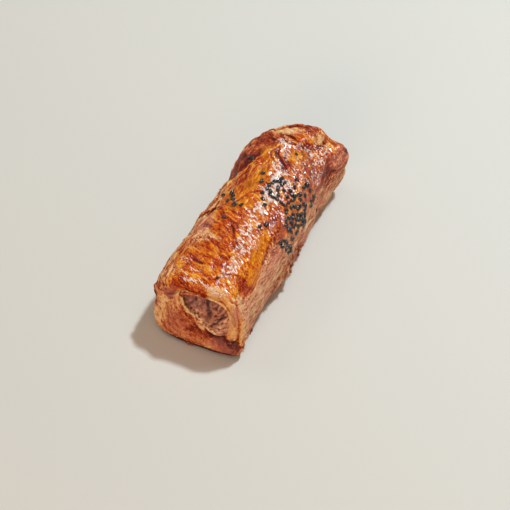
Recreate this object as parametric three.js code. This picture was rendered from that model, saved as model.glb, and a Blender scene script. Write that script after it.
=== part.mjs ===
// A rolled borek: a sheet of pastry wound round a filled inner roll and baked.
// Millimetres, +Z up. The roll lies along Y on its flat underside, with the open end at -Y,
// and the origin is under the middle of its bounding box.
import * as THREE from 'three';
import { LoftGeometry } from 'three/addons/geometries/LoftGeometry.js';

// ---- the roll's sizes ----

const AXIS_SHARE = 0.455; // height of the section's widest line, as a share of its height
const TOP_SQUARENESS = 2.4; // superellipse power above the widest line
const BASE_SQUARENESS = 3.4; // and below it
const BASE_CUT = 0.9; // how far the rounded underside is pressed flat

// Places along the roll: y, half-width to the left, half-width to the right, height.
const STATIONS = [
  [-84, 32.2, 28.8, 41],
  [-66, 33.4, 26.8, 42.5],
  [-44, 33.6, 26.6, 44],
  [-22, 32.2, 28.0, 45],
  [2, 29.6, 29.2, 45],
  [24, 29.2, 28.4, 44],
  [44, 32.0, 27.6, 45],
  [70, 32.6, 28.8, 43.5],
  [92, 31, 30.6, 42],
];

// What varies round an end: its mean, and how much is added towards the top,
// towards the right, at both sides alike and at the four corners.
const OPEN_RIM = { mean: -75.9, top: 4.8, right: -1.5, sides: 0.9, corners: -0.7 };
const OPEN_RIM_RADIUS = { mean: 4.8, top: 0.8, right: -1.9, sides: 0.4, corners: 0 };
const FOLDED_RIM = { mean: 81.4, top: 3, right: 6.5, sides: -2.6, corners: -0.8 };
const FOLDED_RIM_RADIUS = { mean: 9, top: 0, right: -1.5, sides: 0.5, corners: 0 };
const PILLOW = 1.6; // how far the flap at the open end swells out between rim and mouth
const FOLDED_PILLOW = 3; // how far the folded end swells out past its rim

// At the folded end the top sheet laps over the bottom one along a sloping line.
const LAP = { height: 20, slope: -0.2, step: 2, softness: 5 };

// The mouth left between the top lip, the right-hand band and the diagonal flap: x, y, z.
const MOUTH_EDGE = [
  [19.5, -77.3, 24],
  [18.3, -76, 31.5],
  [15.2, -74.8, 35.6],
  [8.3, -74.2, 35.8],
  [1.7, -73.8, 35.9],
  [-4, -74, 36.1],
  [-10.3, -75, 36.8],
  [-9.2, -77.3, 29],
  [-5.4, -78.3, 26],
  [-1.4, -78.5, 23.4],
  [2.8, -78.7, 17.2],
  [8.8, -78.8, 13],
  [14, -78.6, 12.8],
  [17.8, -78.4, 16],
];

// The outermost sheet ends in a free edge that climbs the left side and crosses the top
// towards the folded end: its place along the roll at the left, how far it runs on,
// the angles in degrees between which it does so, and the height of the step.
const FREE_EDGE = { y: 20, run: 40, from: 149, to: 95, step: 1.3, softness: 2.5 };
const STEP_FADES = [83, 95, 200, 230]; // the angles over which the step grows and dies away again

// Swellings of the outside: y, angle in degrees, reach along, reach around, rise.
const SWELLINGS = [
  [-71, 161, 3.6, 7, 2.6], // the lip's pointed left corner,
  [-74, 180, 7, 13, -1.8], // the flatter side below it
  [-79, 217, 8, 14, 1.6], // and the squarer corner under that
  [-10, -14, 15, 9, 1.4], // the torn, frayed edge low on the right
  [80, 80, 12, 16, 3], // the folded end's middle lobe
  [82, 20, 12, 18, 4.2], // and its right-hand corner,
  [82, 36, 5, 7, 1.6], // which is pinched to a point
  [-44, 95, 26, 28, 0.8],
  [2, 88, 18, 30, 0.6],
  [-79, -44, 8, 14, 2.2], // the squarer lower right corner of the open end
];

// A faint unevenness that winds round the roll: its height, and how far along it takes to turn.
const WINDING = { height: 0.35, along: 7, slow: 19 };

// Creases: y and angle at the two ends, width, depth.
const CREASES = [
  [-16, 98, -40, 70, 2.6, 1],
  [-13, 138, -3, 120, 3, 1.1],
  [52, 92, 38, 78, 3, 0.8],
  [60, 76, 82, 52, 3.5, 1.6], // between the folded end's lobe and its corner
  [-62, 46, -78, 4, 2.6, 0.9], // behind the right-hand band
  [22, 135, 44, 112, 3, 0.7],
];

const WALL = { mean: 6.6, top: -1.6, right: 0, sides: 0, corners: 0 }; // the wound sheets round the bore
const BORE_START = -60; // where the mouth has widened to the bore
const BORE_END = 70;
const MM_PER_DEGREE = 0.5; // distance round the roll for a degree of the section's angle
const GAP = 0.45; // clearance between the wound sheets and the inner roll

// The inner roll's end lies just behind the flap's edge and deeper under the lip: how far from the
// mouth's edge to the bore, as a share, below the one height and above the other.
const CORE_DEPTH = { low: 0.09, high: 0.4, from: 24, to: 32 };
const CORE_MIDDLE = [6, -76.2, 23.5]; // x, y, z
const CORE_SWELL = 0.9; // how far the end swells out between its middle and its edge
const CORE_FRONT = [0, 0.3, 0.6, 0.85]; // rings of the end, as shares of the way to its edge

// ---- mesh density ----

const AROUND = 64;
const BODY_RINGS = 38;
const RIM_RINGS = 5;
const FACE_RINGS = 6;
const CAP_RINGS = 5;
const BORE_RINGS = 4;

// ---- shapes ----

const sizes = new THREE.CubicInterpolant(
  STATIONS.map((s) => s[0]),
  STATIONS.flatMap((s) => s.slice(1)),
  3,
);

const steps = (count) => Array.from({ length: count + 1 }, (_, i) => i / count);
const angles = Array.from({ length: AROUND }, (_, i) => (i / AROUND) * 2 * Math.PI);
const round = ({ mean, top, right, sides, corners }, angle) =>
  mean +
  top * Math.sin(angle) +
  right * Math.cos(angle) +
  sides * Math.cos(2 * angle) +
  (corners * (1 - Math.cos(4 * angle))) / 2;

// A point of the section at y, in the direction of the angle from its widest line,
// drawn in by inset and with the underside pressed flat at z = 0.
function onSection(y, angle, inset = 0) {
  const [left, right, height] = sizes.evaluate(y);
  const c = Math.cos(angle);
  const s = Math.sin(angle);
  const power = 2 / (s > 0 ? TOP_SQUARENESS : BASE_SQUARENESS);
  const axis = height * AXIS_SHARE;
  const half = c > 0 ? right : left;
  const rise = s > 0 ? height - axis : axis + BASE_CUT;
  const x = Math.sign(c) * Math.abs(c) ** power * half;
  const z = Math.sign(s) * Math.abs(s) ** power * rise;
  const keep = 1 - inset / Math.hypot(x, z);
  return new THREE.Vector3(x * keep, y, Math.max(0, axis + z * keep));
}

// 0 below the low edge and 1 above the high one, with a smooth climb between.
const climb = THREE.MathUtils.smoothstep;

// Height of the outermost sheet above the ones that its free edge lays bare.
function sheetStep(y, degrees) {
  const { from, to, run, step, softness } = FREE_EDGE;
  const across = THREE.MathUtils.clamp((from - degrees) / (from - to), 0, 1);
  const edge = FREE_EDGE.y + run * across ** 2;
  const [begins, full, wanes, ends] = STEP_FADES;
  const fade = climb(degrees, begins, full) * (1 - climb(degrees, wanes, ends));
  return step * fade * (0.5 - climb(y - edge, -softness / 2, softness / 2));
}

function creaseDepth(y, degrees, [y0, angle0, y1, angle1, width, depth]) {
  const along = [y1 - y0, (angle1 - angle0) * MM_PER_DEGREE];
  const reached = [y - y0, (degrees - angle0) * MM_PER_DEGREE];
  const length2 = along[0] ** 2 + along[1] ** 2;
  const t = THREE.MathUtils.clamp((reached[0] * along[0] + reached[1] * along[1]) / length2, 0, 1);
  const off = Math.hypot(reached[0] - t * along[0], reached[1] - t * along[1]);
  return depth * Math.exp(-((off / width) ** 2));
}

// How far the outside stands out from the smooth section.
function relief(y, angle) {
  const degrees = THREE.MathUtils.euclideanModulo(THREE.MathUtils.radToDeg(angle) + 90, 360) - 90;
  let height = sheetStep(y, degrees);
  for (const [y0, angle0, along, around, rise] of SWELLINGS)
    height += rise * Math.exp(-(((y - y0) / along) ** 2) - ((degrees - angle0) / around) ** 2);
  for (const crease of CREASES) height -= creaseDepth(y, degrees, crease);
  const { along, slow } = WINDING;
  const winding = Math.sin(y / along + 3 * Math.sin(angle)) * Math.sin(2 * angle + y / slow);
  return height + WINDING.height * winding;
}

const onOutside = (y, angle, inset = 0) => onSection(y, angle, inset - relief(y, angle));

// The quarter round that turns the side of the roll into an end face; outwards is -1 or 1.
function rimRing(place, radii, outwards, t) {
  const turn = (t * Math.PI) / 2;
  return angles.map((angle) => {
    const radius = round(radii, angle);
    const y = round(place, angle) - outwards * radius * (1 - Math.sin(turn));
    return onOutside(y, angle, radius * (1 - Math.cos(turn)));
  });
}

const openRim = (t) => rimRing(OPEN_RIM, OPEN_RIM_RADIUS, -1, t);
const foldedRim = (t) => rimRing(FOLDED_RIM, FOLDED_RIM_RADIUS, 1, t);

// The folded end's face, from its rim at t = 0 to its middle at t = 1.
function foldedFace(t) {
  const rim = foldedRim(1);
  const middle = centreOf(rim);
  return rim.map((p) => {
    const q = p.clone().lerp(middle, t);
    const above = q.z - LAP.height - LAP.slope * q.x;
    const lap = climb(above, -LAP.softness / 2, LAP.softness / 2) - 0.5;
    q.y += FOLDED_PILLOW * (1 - (1 - t) ** 2) + LAP.step * lap * t;
    return q;
  });
}

const mouthCurve = new THREE.CatmullRomCurve3(
  MOUTH_EDGE.map((p) => new THREE.Vector3(...p)),
  true,
  'centripetal',
);
const mouthRing = mouthCurve.getSpacedPoints(AROUND).slice(0, AROUND);

function faceRing(t) {
  return openRim(1).map((p, i) => {
    const q = p.clone().lerp(mouthRing[i], t);
    q.y -= PILLOW * 4 * t * (1 - t);
    return q;
  });
}

const boreRing = (y) => angles.map((angle) => onSection(y, angle, round(WALL, angle)));

function centreOf(ring) {
  const sum = ring.reduce((total, p) => total.add(p), new THREE.Vector3());
  return sum.divideScalar(ring.length);
}

// A ring drawn in by the gap, square to its own outline.
function shrunk(ring, gap) {
  return ring.map((p, i) => {
    const ahead = ring[(i + 1) % AROUND];
    const behind = ring.at(i - 1);
    const inwards = new THREE.Vector3(behind.z - ahead.z, 0, ahead.x - behind.x).normalize();
    return p.clone().addScaledVector(inwards, gap);
  });
}

function pole(ring, y) {
  const centre = centreOf(ring).setY(y);
  return ring.map(() => centre);
}

// The wall behind the mouth runs straight from its edge to the start of the bore. The inner roll's
// end begins on it, at its own depth.
function coreEdge() {
  const start = boreRing(BORE_START);
  const { low, high, from, to } = CORE_DEPTH;
  return mouthRing.map((p, i) => p.clone().lerp(start[i], low + (high - low) * climb(p.z, from, to)));
}

const boreRings = (to) => steps(BORE_RINGS).map((t) => boreRing(BORE_START + (to - BORE_START) * t));

function outerWrap() {
  const body = steps(BODY_RINGS).map((t) => {
    const from = foldedRim(0);
    const to = openRim(0);
    return angles.map((angle, i) => onOutside(from[i].y + (to[i].y - from[i].y) * t, angle));
  });
  const bore = boreRings(BORE_END);
  return new LoftGeometry([
    ...steps(CAP_RINGS).map((t) => foldedFace(1 - t)),
    ...steps(RIM_RINGS).slice(1, -1).map((t) => foldedRim(1 - t)),
    ...body,
    ...steps(RIM_RINGS).slice(1).map(openRim),
    ...steps(FACE_RINGS).slice(1).map(faceRing),
    ...bore,
    pole(bore.at(-1), BORE_END),
  ]);
}

function innerRoll() {
  const edge = shrunk(coreEdge(), GAP);
  const middle = new THREE.Vector3(...CORE_MIDDLE);
  const front = CORE_FRONT.map((t) =>
    edge.map((p) => {
      const q = middle.clone().lerp(p, t);
      q.y -= CORE_SWELL * Math.sin(Math.PI * t);
      return q;
    }),
  );
  const sides = boreRings(BORE_END - GAP).map((ring) => shrunk(ring, GAP));
  return new LoftGeometry([
    pole(sides.at(-1), BORE_END - GAP),
    ...sides.reverse(),
    edge,
    ...front.reverse(),
  ]);
}

// ---- the object ----

const crust = new THREE.MeshStandardMaterial({ color: 0xb4571f, roughness: 0.35, metalness: 0 });
const filled = new THREE.MeshStandardMaterial({ color: 0x9c6a4c, roughness: 0.8, metalness: 0 });

function named(name, geometry, material) {
  const mesh = new THREE.Mesh(geometry, material);
  mesh.name = name;
  return mesh;
}

const borek = new THREE.Group();
borek.add(named('pastry_wrap', outerWrap(), crust));
borek.add(named('inner_roll', innerRoll(), filled));

// The origin goes under the middle of the bounding box, on the surface that the roll rests on.
const box = new THREE.Box3().setFromObject(borek);
const middle = box.getCenter(new THREE.Vector3()).setZ(box.min.z);
for (const mesh of borek.children) mesh.position.sub(middle);

export default borek;
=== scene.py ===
# %% [markdown]
# # A rolled borek
# Sheets of thin dough are wound round a filled inner roll, brushed with egg, sprinkled with black seeds
# and baked. This lesson builds the crust, the inner roll that shows in the open end, the seeds and the loose
# flakes, and gives each one a finish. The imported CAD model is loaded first: it gives the size and the place.

# %% The frame
import math
from itertools import product

import bmesh
import bpy
import numpy as np
from mathutils import Matrix, Vector


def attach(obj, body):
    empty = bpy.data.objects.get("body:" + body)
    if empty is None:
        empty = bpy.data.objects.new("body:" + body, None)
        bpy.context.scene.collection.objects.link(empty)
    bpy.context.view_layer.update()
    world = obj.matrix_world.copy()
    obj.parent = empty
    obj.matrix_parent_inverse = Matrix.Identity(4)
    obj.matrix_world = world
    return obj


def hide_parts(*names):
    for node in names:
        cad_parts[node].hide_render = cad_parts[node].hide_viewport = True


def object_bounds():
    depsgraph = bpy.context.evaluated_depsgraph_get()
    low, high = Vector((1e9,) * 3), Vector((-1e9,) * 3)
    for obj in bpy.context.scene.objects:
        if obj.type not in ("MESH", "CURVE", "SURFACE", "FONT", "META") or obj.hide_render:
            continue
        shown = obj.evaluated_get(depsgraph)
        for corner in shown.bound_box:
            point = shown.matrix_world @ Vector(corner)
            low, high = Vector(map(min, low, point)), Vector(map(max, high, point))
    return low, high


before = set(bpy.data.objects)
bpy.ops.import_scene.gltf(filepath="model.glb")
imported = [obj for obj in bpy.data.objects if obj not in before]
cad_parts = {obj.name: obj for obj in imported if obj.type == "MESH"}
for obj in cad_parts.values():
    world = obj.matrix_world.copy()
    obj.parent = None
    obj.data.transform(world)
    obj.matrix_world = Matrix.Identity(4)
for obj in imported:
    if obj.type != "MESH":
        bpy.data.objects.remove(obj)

cad_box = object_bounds()
print("CAD box in metres:", [list(corner) for corner in cad_box])

# %% [markdown]
# ## Millimetres and the roll's own axes
# Sizes of food are easy to think of in millimetres, and Blender works in metres here. The roll's own numbers
# have y = 0 near its middle, x = 0 under its crest and z = 0 on the table, so one shift takes them to the
# frame. The shift comes from the low corner of the CAD box.

# %% Units
MM = 0.001
OWN_LOW_CORNER = np.array([-34.47, -82.28, 0.0])
shift = np.array(cad_box[0]) / MM - OWN_LOW_CORNER
print("shift from the roll's own axes, mm:", shift.round(2))


def to_frame(points):
    """The roll's own millimetres as metres in the frame."""
    return (np.asarray(points, float) + shift) * MM


# %% [markdown]
# ## Small helpers for shapes
# Every wrinkle, fold and patch below is a soft function of place. A soft step climbs from 0 to 1, a hump is
# a bell round 0, and gradient noise gives the unevenness that dough has. The noise is written with numpy,
# so that it works on a quarter of a million points at once and gives the same result on each run.

# %% Soft step, hump and noise
def step(value, low, high):
    t = np.clip((value - low) / (high - low), 0, 1)
    return t * t * (3 - 2 * t)


def hump(distance):
    return np.exp(-distance * distance)


def taper(along, ends=0.2):
    """1 along a path, falling to 0 at both of its ends."""
    return step(along, 0, ends) * (1 - step(along, 1 - ends, 1))


LATTICE, SEED_SHIFT, NOISE_SCALE = 32, 5.37, 1.7
directions = np.random.default_rng(7).normal(size=(LATTICE,) * 3 + (3,)).astype(np.float32)
directions /= np.linalg.norm(directions, axis=-1, keepdims=True)
print("directions for the noise:", directions.shape)


def noise(points, size, seed=0):
    """Smooth noise from about -1 to 1, with lumps about as wide as size, which may differ by axis."""
    place = np.asarray(points, np.float32) / np.asarray(size, np.float32) + seed * SEED_SHIFT
    cell = np.floor(place).astype(int)
    inside = place - cell
    fade = inside**3 * (inside * (inside * 6 - 15) + 10)
    total = 0
    for corner in product((0, 1), repeat=3):
        index = (cell + corner) % LATTICE
        slope = directions[index[..., 0], index[..., 1], index[..., 2]]
        weight = np.where(corner, fade, 1 - fade).prod(-1)
        total = total + weight * (slope * (inside - corner)).sum(-1)
    return total * NOISE_SCALE


def rough(points, size, octaves=3, seed=0):
    """Noise with finer noise on it."""
    size = np.asarray(size, float)
    return sum(noise(points, size / 2**k, seed + k) / 2**k for k in range(octaves))


def ridges(points, size, seed=0):
    """Sharp-crested folds: 1 on a crest, falling to about 0 between crests."""
    return 1 - np.abs(noise(points, size, seed)) * 2


# %% [markdown]
# ## The section
# Across the roll, the outline is a superellipse: rounder above its widest line, squarer below it, and
# pressed flat where it rests. Its half-widths and its height change along the roll. A cubic curve through
# the stations gives them at any place.

# %% The outline of the roll at any place along it
STATIONS = np.array([  # y, half-width to the left, half-width to the right, height
    (-84, 32.2, 28.8, 41), (-66, 33.4, 26.8, 42.5), (-44, 33.6, 26.6, 44), (-22, 32.2, 28, 45),
    (2, 29.6, 29.2, 45), (24, 29.2, 28.4, 44), (44, 32, 27.6, 45), (70, 32.6, 28.8, 43.5),
    (92, 31, 30.6, 42)], float)
AXIS_SHARE = 0.455
TOP_SQUARENESS, BASE_SQUARENESS = 2.4, 3.4
BASE_CUT = 0.9


def through(knots, values, at):
    """A smooth curve through the values at the knots."""
    slope = np.gradient(values, knots)
    at = np.clip(at, knots[0], knots[-1])
    i = np.clip(np.searchsorted(knots, at) - 1, 0, len(knots) - 2)
    gap = knots[i + 1] - knots[i]
    t = (at - knots[i]) / gap
    first, lift = 2 * t**3 - 3 * t**2 + 1, t**3 - 2 * t**2 + t
    ends = first * values[i] + (1 - first) * values[i + 1]
    return ends + gap * (lift * slope[i] + (t**3 - t**2) * slope[i + 1])


def section(y, angle, inset=0.0):
    """The point of the outline at y, in the direction of angle, drawn in by inset."""
    y = np.broadcast_to(y, np.broadcast_shapes(np.shape(y), np.shape(angle))).astype(float)
    left, right, height = (through(STATIONS[:, 0], STATIONS[:, k], y) for k in (1, 2, 3))
    c, s = np.cos(angle), np.sin(angle)
    power = 2 / np.where(s > 0, TOP_SQUARENESS, BASE_SQUARENESS)
    axis = height * AXIS_SHARE
    x = np.sign(c) * np.abs(c) ** power * np.where(c > 0, right, left)
    z = np.sign(s) * np.abs(s) ** power * np.where(s > 0, height - axis, axis + BASE_CUT)
    keep = 1 - inset / np.hypot(x, z)
    return np.stack([x * keep, y, np.maximum(0, axis + z * keep)], -1)


print("crest at the middle: %.1f mm high" % section(0.0, np.pi / 2)[2])


# %% [markdown]
# ## Broad swellings and creases
# A hand-rolled sheet is never even. The broad shapes come first, each with its place along the roll and its
# angle round it: lobes where the far end is folded in, a pointed left corner on the lip, and long creases.

# %% The broad relief
SWELLINGS = [  # y, angle in degrees, reach along, reach round, rise
    (-71, 161, 3.6, 7, 2.6), (-74, 180, 7, 13, -1.8), (-79, 217, 8, 14, 1.6), (-10, -14, 15, 9, 1.4),
    (80, 80, 12, 16, 3), (82, 20, 12, 18, 4.2), (82, 36, 5, 7, 1.6), (-44, 95, 26, 28, 0.8),
    (2, 88, 18, 30, 0.6), (-79, -44, 8, 14, 2.2)]
CREASES = [  # y and angle at the two ends, width, depth
    (-16, 98, -40, 70, 2.6, 1), (-13, 138, -3, 120, 3, 1.1), (52, 92, 38, 78, 3, 0.8),
    (60, 76, 82, 52, 3.5, 1.6), (-62, 46, -78, 4, 2.6, 0.9), (22, 135, 44, 112, 3, 0.7)]
MM_PER_DEGREE = 0.5
WAVE_HEIGHT, WAVE_LENGTH, WAVE_LEAN = 0.35, 7, 19


def broad_relief(y, angle):
    degrees = (np.degrees(angle) + 90) % 360 - 90
    height = WAVE_HEIGHT * np.sin(y / WAVE_LENGTH + 3 * np.sin(angle)) * np.sin(2 * angle + y / WAVE_LEAN)
    for y0, angle0, along, across, rise in SWELLINGS:
        height = height + rise * hump((y - y0) / along) * hump((degrees - angle0) / across)
    for y0, angle0, y1, angle1, width, depth in CREASES:
        run = np.array([y1 - y0, (angle1 - angle0) * MM_PER_DEGREE])
        reached_y, reached_round = y - y0, (degrees - angle0) * MM_PER_DEGREE
        t = np.clip((reached_y * run[0] + reached_round * run[1]) / (run @ run), 0, 1)
        height = height - depth * hump(np.hypot(reached_y - t * run[0], reached_round - t * run[1]) / width)
    return height


def outside(y, angle, inset=0.0):
    return section(y, angle, inset - broad_relief(y, angle))


print("with the broad relief: %.1f mm high" % outside(0.0, np.pi / 2)[2])


# %% [markdown]
# ## Both ends
# The side turns into each end through a quarter round, whose place and radius vary round the roll. The far
# end is folded shut. The near end is left open: the wound sheets stop at a mouth between the top lip, a
# band on the right and a slanting flap, and the mouth's wall runs back to the bore that holds the inner roll.
# Five numbers describe how a rim's place, its radius or the wall changes round the roll.

# %% The rims, the mouth and the bore
OPEN_RIM, OPEN_RADIUS = (-75.9, 4.8, -1.5, 0.9, -0.7), (4.8, 0.8, -1.9, 0.4, 0)
FOLDED_RIM, FOLDED_RADIUS = (81.4, 3, 6.5, -2.6, -0.8), (9, 0, -1.5, 0.5, 0)
WALL = (6.6, -1.6, 0, 0, 0)
BORE_START, BORE_END, GAP = -60.0, 70.0, 0.45
MOUTH_EDGE = np.array([
    (19.5, -77.3, 24), (18.3, -76, 31.5), (15.2, -74.8, 35.6), (8.3, -74.2, 35.8), (1.7, -73.8, 35.9),
    (-4, -74, 36.1), (-10.3, -75, 36.8), (-9.2, -77.3, 29), (-5.4, -78.3, 26), (-1.4, -78.5, 23.4),
    (2.8, -78.7, 17.2), (8.8, -78.8, 13), (14, -78.6, 12.8), (17.8, -78.4, 16)], float)
CURVE_POINTS = 3000


def round_end(shape, angle):
    """A value that has a mean, and varies towards the top, the right, both sides and the four corners."""
    mean, top, right, sides, corners = shape
    return (mean + top * np.sin(angle) + right * np.cos(angle) + sides * np.cos(2 * angle)
            + corners * (1 - np.cos(4 * angle)) / 2)


def rim(place, radii, outwards, t, angle):
    turn = t * np.pi / 2
    radius = round_end(radii, angle)
    y = round_end(place, angle) - outwards * radius * (1 - np.sin(turn))
    return outside(y, angle, radius * (1 - np.cos(turn)))


def open_rim(t, angle):
    return rim(OPEN_RIM, OPEN_RADIUS, -1, t, angle)


def folded_rim(t, angle):
    return rim(FOLDED_RIM, FOLDED_RADIUS, 1, t, angle)


def closed_curve(corners, share):
    """Points at shares of the way round a smooth closed curve through the corners."""
    turns = np.vstack([corners[-3:], corners, corners[:3]])
    knots = np.cumsum(np.r_[0, np.linalg.norm(np.diff(turns, axis=0), axis=1) ** 0.5])
    fine = np.linspace(knots[3], knots[3 + len(corners)], CURVE_POINTS)
    curve = np.stack([through(knots, turns[:, k], fine) for k in range(3)], -1)
    run = np.cumsum(np.r_[0, np.linalg.norm(np.diff(curve, axis=0), axis=1)])
    return np.stack([np.interp(share * run[-1], run, curve[:, k]) for k in range(3)], -1)


print("mouth: %.1f mm wide, %.1f mm high" % (np.ptp(MOUTH_EDGE[:, 0]), np.ptp(MOUTH_EDGE[:, 2])))


# %% [markdown]
# ## Columns and rows
# The crust is one grid wrapped round the roll. Its columns are evenly spaced round the outline, which takes a
# table of the distance round it. `around` is that distance in millimetres from the crest, + to the right.
# Its rows run from the middle of the folded end, along the side, round the open end's rim, down its face and
# through the mouth into the bore. At 0.43 mm a cell, the crust's wrinkles are real geometry.

# %% Distance round the outline
COLUMNS, ANGLES = 420, 7201
fine_angle = np.linspace(-np.pi / 2, 1.5 * np.pi, ANGLES)
fine_outline = section(0.0, fine_angle)
fine_run = np.r_[0, np.cumsum(np.linalg.norm(np.diff(fine_outline, axis=0), axis=1))]
girth = fine_run[-1]
crest_run = np.interp(np.pi / 2, fine_angle, fine_run)
print("distance round the roll: %.1f mm" % girth)


def angle_at(around):
    return np.interp(crest_run - np.asarray(around, float), fine_run, fine_angle)


column_run = np.arange(COLUMNS) / COLUMNS * girth
column_angle = np.interp(column_run, fine_run, fine_angle)
column_around = crest_run - column_run
mouth_ring = closed_curve(MOUTH_EDGE, (column_angle / (2 * np.pi)) % 1)


# %% The rows of the crust
FACE_ROWS, RIM_ROWS, BODY_ROWS = 46, 30, 350
OPEN_RIM_ROWS, OPEN_FACE_ROWS, MOUTH_ROWS = 20, 46, 22
PILLOW, FOLDED_PILLOW = 1.6, 3.0
LAP_HEIGHT, LAP_SLOPE, LAP_STEP, LAP_SOFTNESS = 20, -0.2, 2, 2.5
MOUTH_CROWDING = 1.3


def folded_face(t):
    """A ring of the folded end, which swells out and has one lap over another."""
    edge = folded_rim(1.0, column_angle)
    point = edge + (edge.mean(0) - edge) * t
    above = point[:, 2] - LAP_HEIGHT - LAP_SLOPE * point[:, 0]
    lap = step(above, -LAP_SOFTNESS, LAP_SOFTNESS) - 0.5
    point[:, 1] += FOLDED_PILLOW * (1 - (1 - t) ** 2) + LAP_STEP * lap * t
    return point


def open_face(t):
    """A ring of the open end, between its rim and the mouth, which swells out a little."""
    edge = open_rim(1.0, column_angle)
    point = edge + (mouth_ring - edge) * t
    point[:, 1] -= PILLOW * 4 * t * (1 - t)
    return point


def bore(y):
    return section(y, column_angle, round_end(WALL, column_angle))


def mouth_wall(t):
    return mouth_ring + (bore(BORE_START) - mouth_ring) * t


def shares(count):
    return np.linspace(0, 1, count + 1)[1:]


body_start = folded_rim(0.0, column_angle)[:, 1]
body_end = open_rim(0.0, column_angle)[:, 1]
zones = {
    "folded_face": [folded_face(t) for t in np.linspace(1, 0, FACE_ROWS)],
    "folded_rim": [folded_rim(1 - t, column_angle) for t in shares(RIM_ROWS)],
    "side": [outside(body_start + (body_end - body_start) * t, column_angle) for t in shares(BODY_ROWS)],
    "open_rim": [open_rim(t, column_angle) for t in shares(OPEN_RIM_ROWS)],
    "open_face": [open_face(t) for t in shares(OPEN_FACE_ROWS)],
    "mouth": [mouth_wall(t**MOUTH_CROWDING) for t in shares(MOUTH_ROWS)]}
zone_of_row = np.concatenate([[name] * len(rows) for name, rows in zones.items()])
base = np.array([row for rows in zones.values() for row in rows])
print("crust grid:", base.shape[0], "rows of", base.shape[1])


# %% [markdown]
# ## Where things are on the surface
# A wrinkle's place is easiest to give as (along, around) on the side and as (x, z) on an end. The grid's
# normals come from differences between neighbouring points. Each row belongs to a zone: an end, a rim, the
# side or the mouth.

# %% Normals and places on the surface
def grid_normals(points):
    along = np.gradient(points, axis=0)
    across = np.roll(points, -1, 1) - np.roll(points, 1, 1)
    normal = np.cross(along, across)
    return normal / np.maximum(np.linalg.norm(normal, axis=-1, keepdims=True), 1e-9)


base_normal = grid_normals(base)
outwards = np.sign((base_normal * (base - base.mean((0, 1)))).sum())
base_normal *= outwards
X, Y, Z = base[..., 0], base[..., 1], base[..., 2]
flat = Z * 0
AROUND = np.broadcast_to(column_around, X.shape)
is_zone = {name: (zone_of_row == name)[:, None] & np.ones(COLUMNS, bool) for name in zones}
wound = is_zone["side"] | is_zone["open_rim"] | is_zone["folded_rim"]
underneath = step(np.abs(AROUND), 58, 70)
print("points on the wound side:", wound.sum(), "of", wound.size)

# %% [markdown]
# An edge or a crease is drawn as a path of places, which becomes a path in space. Each grid point gets its
# distance to the path, how far along it lies, and on which side. That is enough for a groove, a raised edge
# or a gleam that fades out at both ends.

# %% Paths on the surface
def on_crust(y, around):
    """The point of the crust at a place along the roll and round it, rims included."""
    y, angle = np.asarray(y, float), angle_at(around)
    near, near_radius = round_end(OPEN_RIM, angle), round_end(OPEN_RADIUS, angle)
    far, far_radius = round_end(FOLDED_RIM, angle), round_end(FOLDED_RADIUS, angle)
    over = np.maximum((near + near_radius - y) / near_radius, (y - far + far_radius) / far_radius)
    radius = np.where(y < 0, near_radius, far_radius)
    inset = radius * (1 - np.sqrt(1 - np.clip(over, 0, 1) ** 2))
    return outside(np.clip(y, near, far), angle, inset)


def path_space(places):
    return np.array([on_crust(y, around) for y, around in places])


def near_path(points, path):
    """Distance to the path, how far along it (0 to 1), and the signed side, + to the left of its run."""
    path = np.asarray(path, float)
    shape = points.shape[:-1]
    best = np.full(shape, 1e9)
    along, side = np.zeros(shape), np.zeros(shape)
    lengths = np.linalg.norm(np.diff(path, axis=0), axis=1)
    reached = np.r_[0, np.cumsum(lengths)] / lengths.sum()
    for k, (a, b) in enumerate(zip(path[:-1], path[1:])):
        run = b - a
        t = np.clip(((points - a) @ run) / (run @ run), 0, 1)
        off = points - a - t[..., None] * run
        distance = np.linalg.norm(off, axis=-1)
        nearer = distance < best
        best = np.where(nearer, distance, best)
        along = np.where(nearer, reached[k] + t * (reached[k + 1] - reached[k]), along)
        if points.shape[-1] == 3:
            turned = (np.cross(run, off) * base_normal).sum(-1)
        else:
            turned = run[0] * off[..., 1] - run[1] * off[..., 0]
        side = np.where(nearer, np.sign(turned), side)
    return best, along, side


def line(points, path, width, ends=0.1):
    """1 on a path, fading over its width and at both of its ends."""
    distance, along, _ = near_path(points, path)
    return taper(along, ends) * hump(distance / width)


# %% [markdown]
# ## The relief of the wound side
# The outermost sheet stops at a free edge that climbs the left side and crosses the top, so the surface
# drops by a sheet's thickness there, with a few plies showing as fine lines beside it. Sharp creases and
# small folds come next, then wrinkles that run as the sheet was pulled, and torn flakes of the top ply. In
# the sums below, a number before a shape is its height, and one that divides a distance is its width, both
# in millimetres.

# %% The free edge and its plies
relief = np.zeros(X.shape)
FREE_EDGE = path_space([(13, -75), (16, -62), (19, -46), (20.4, -32), (24.4, -22), (35, -16.7), (44.9, -12),
                        (54, -7), (60, -3.5), (64, 0)])
EDGE_RISE, EDGE_DROP, EDGE_LIP = 0.8, 1.9, 0.35
PLY_SPACING, PLY_HEIGHT, PLY_REACH = 2.3, 0.34, 13
edge_distance, _, edge_side = near_path(base, FREE_EDGE)
past_edge = edge_distance * edge_side + 0.5 * noise(base, 5, 3) + 0.25 * noise(base, 1.8, 4)
if past_edge[np.argmin(np.abs(Y[:, 0])), COLUMNS // 2] > 0:
    past_edge = -past_edge
sheet_fade = (1 - step(AROUND, -4, 4)) * (1 - underneath) * wound * step(edge_distance, 45, 25)
relief += sheet_fade * (EDGE_RISE - EDGE_DROP * step(past_edge, -0.25, 0.35))
relief += sheet_fade * EDGE_LIP * (hump((past_edge + 0.9) / 0.8) - hump((past_edge - 0.7) / 0.6))
under_layer = step(past_edge, 0, 0.8) * sheet_fade
ply = (-past_edge + 1.3 * noise(base, 14, 5)) / PLY_SPACING
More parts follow.
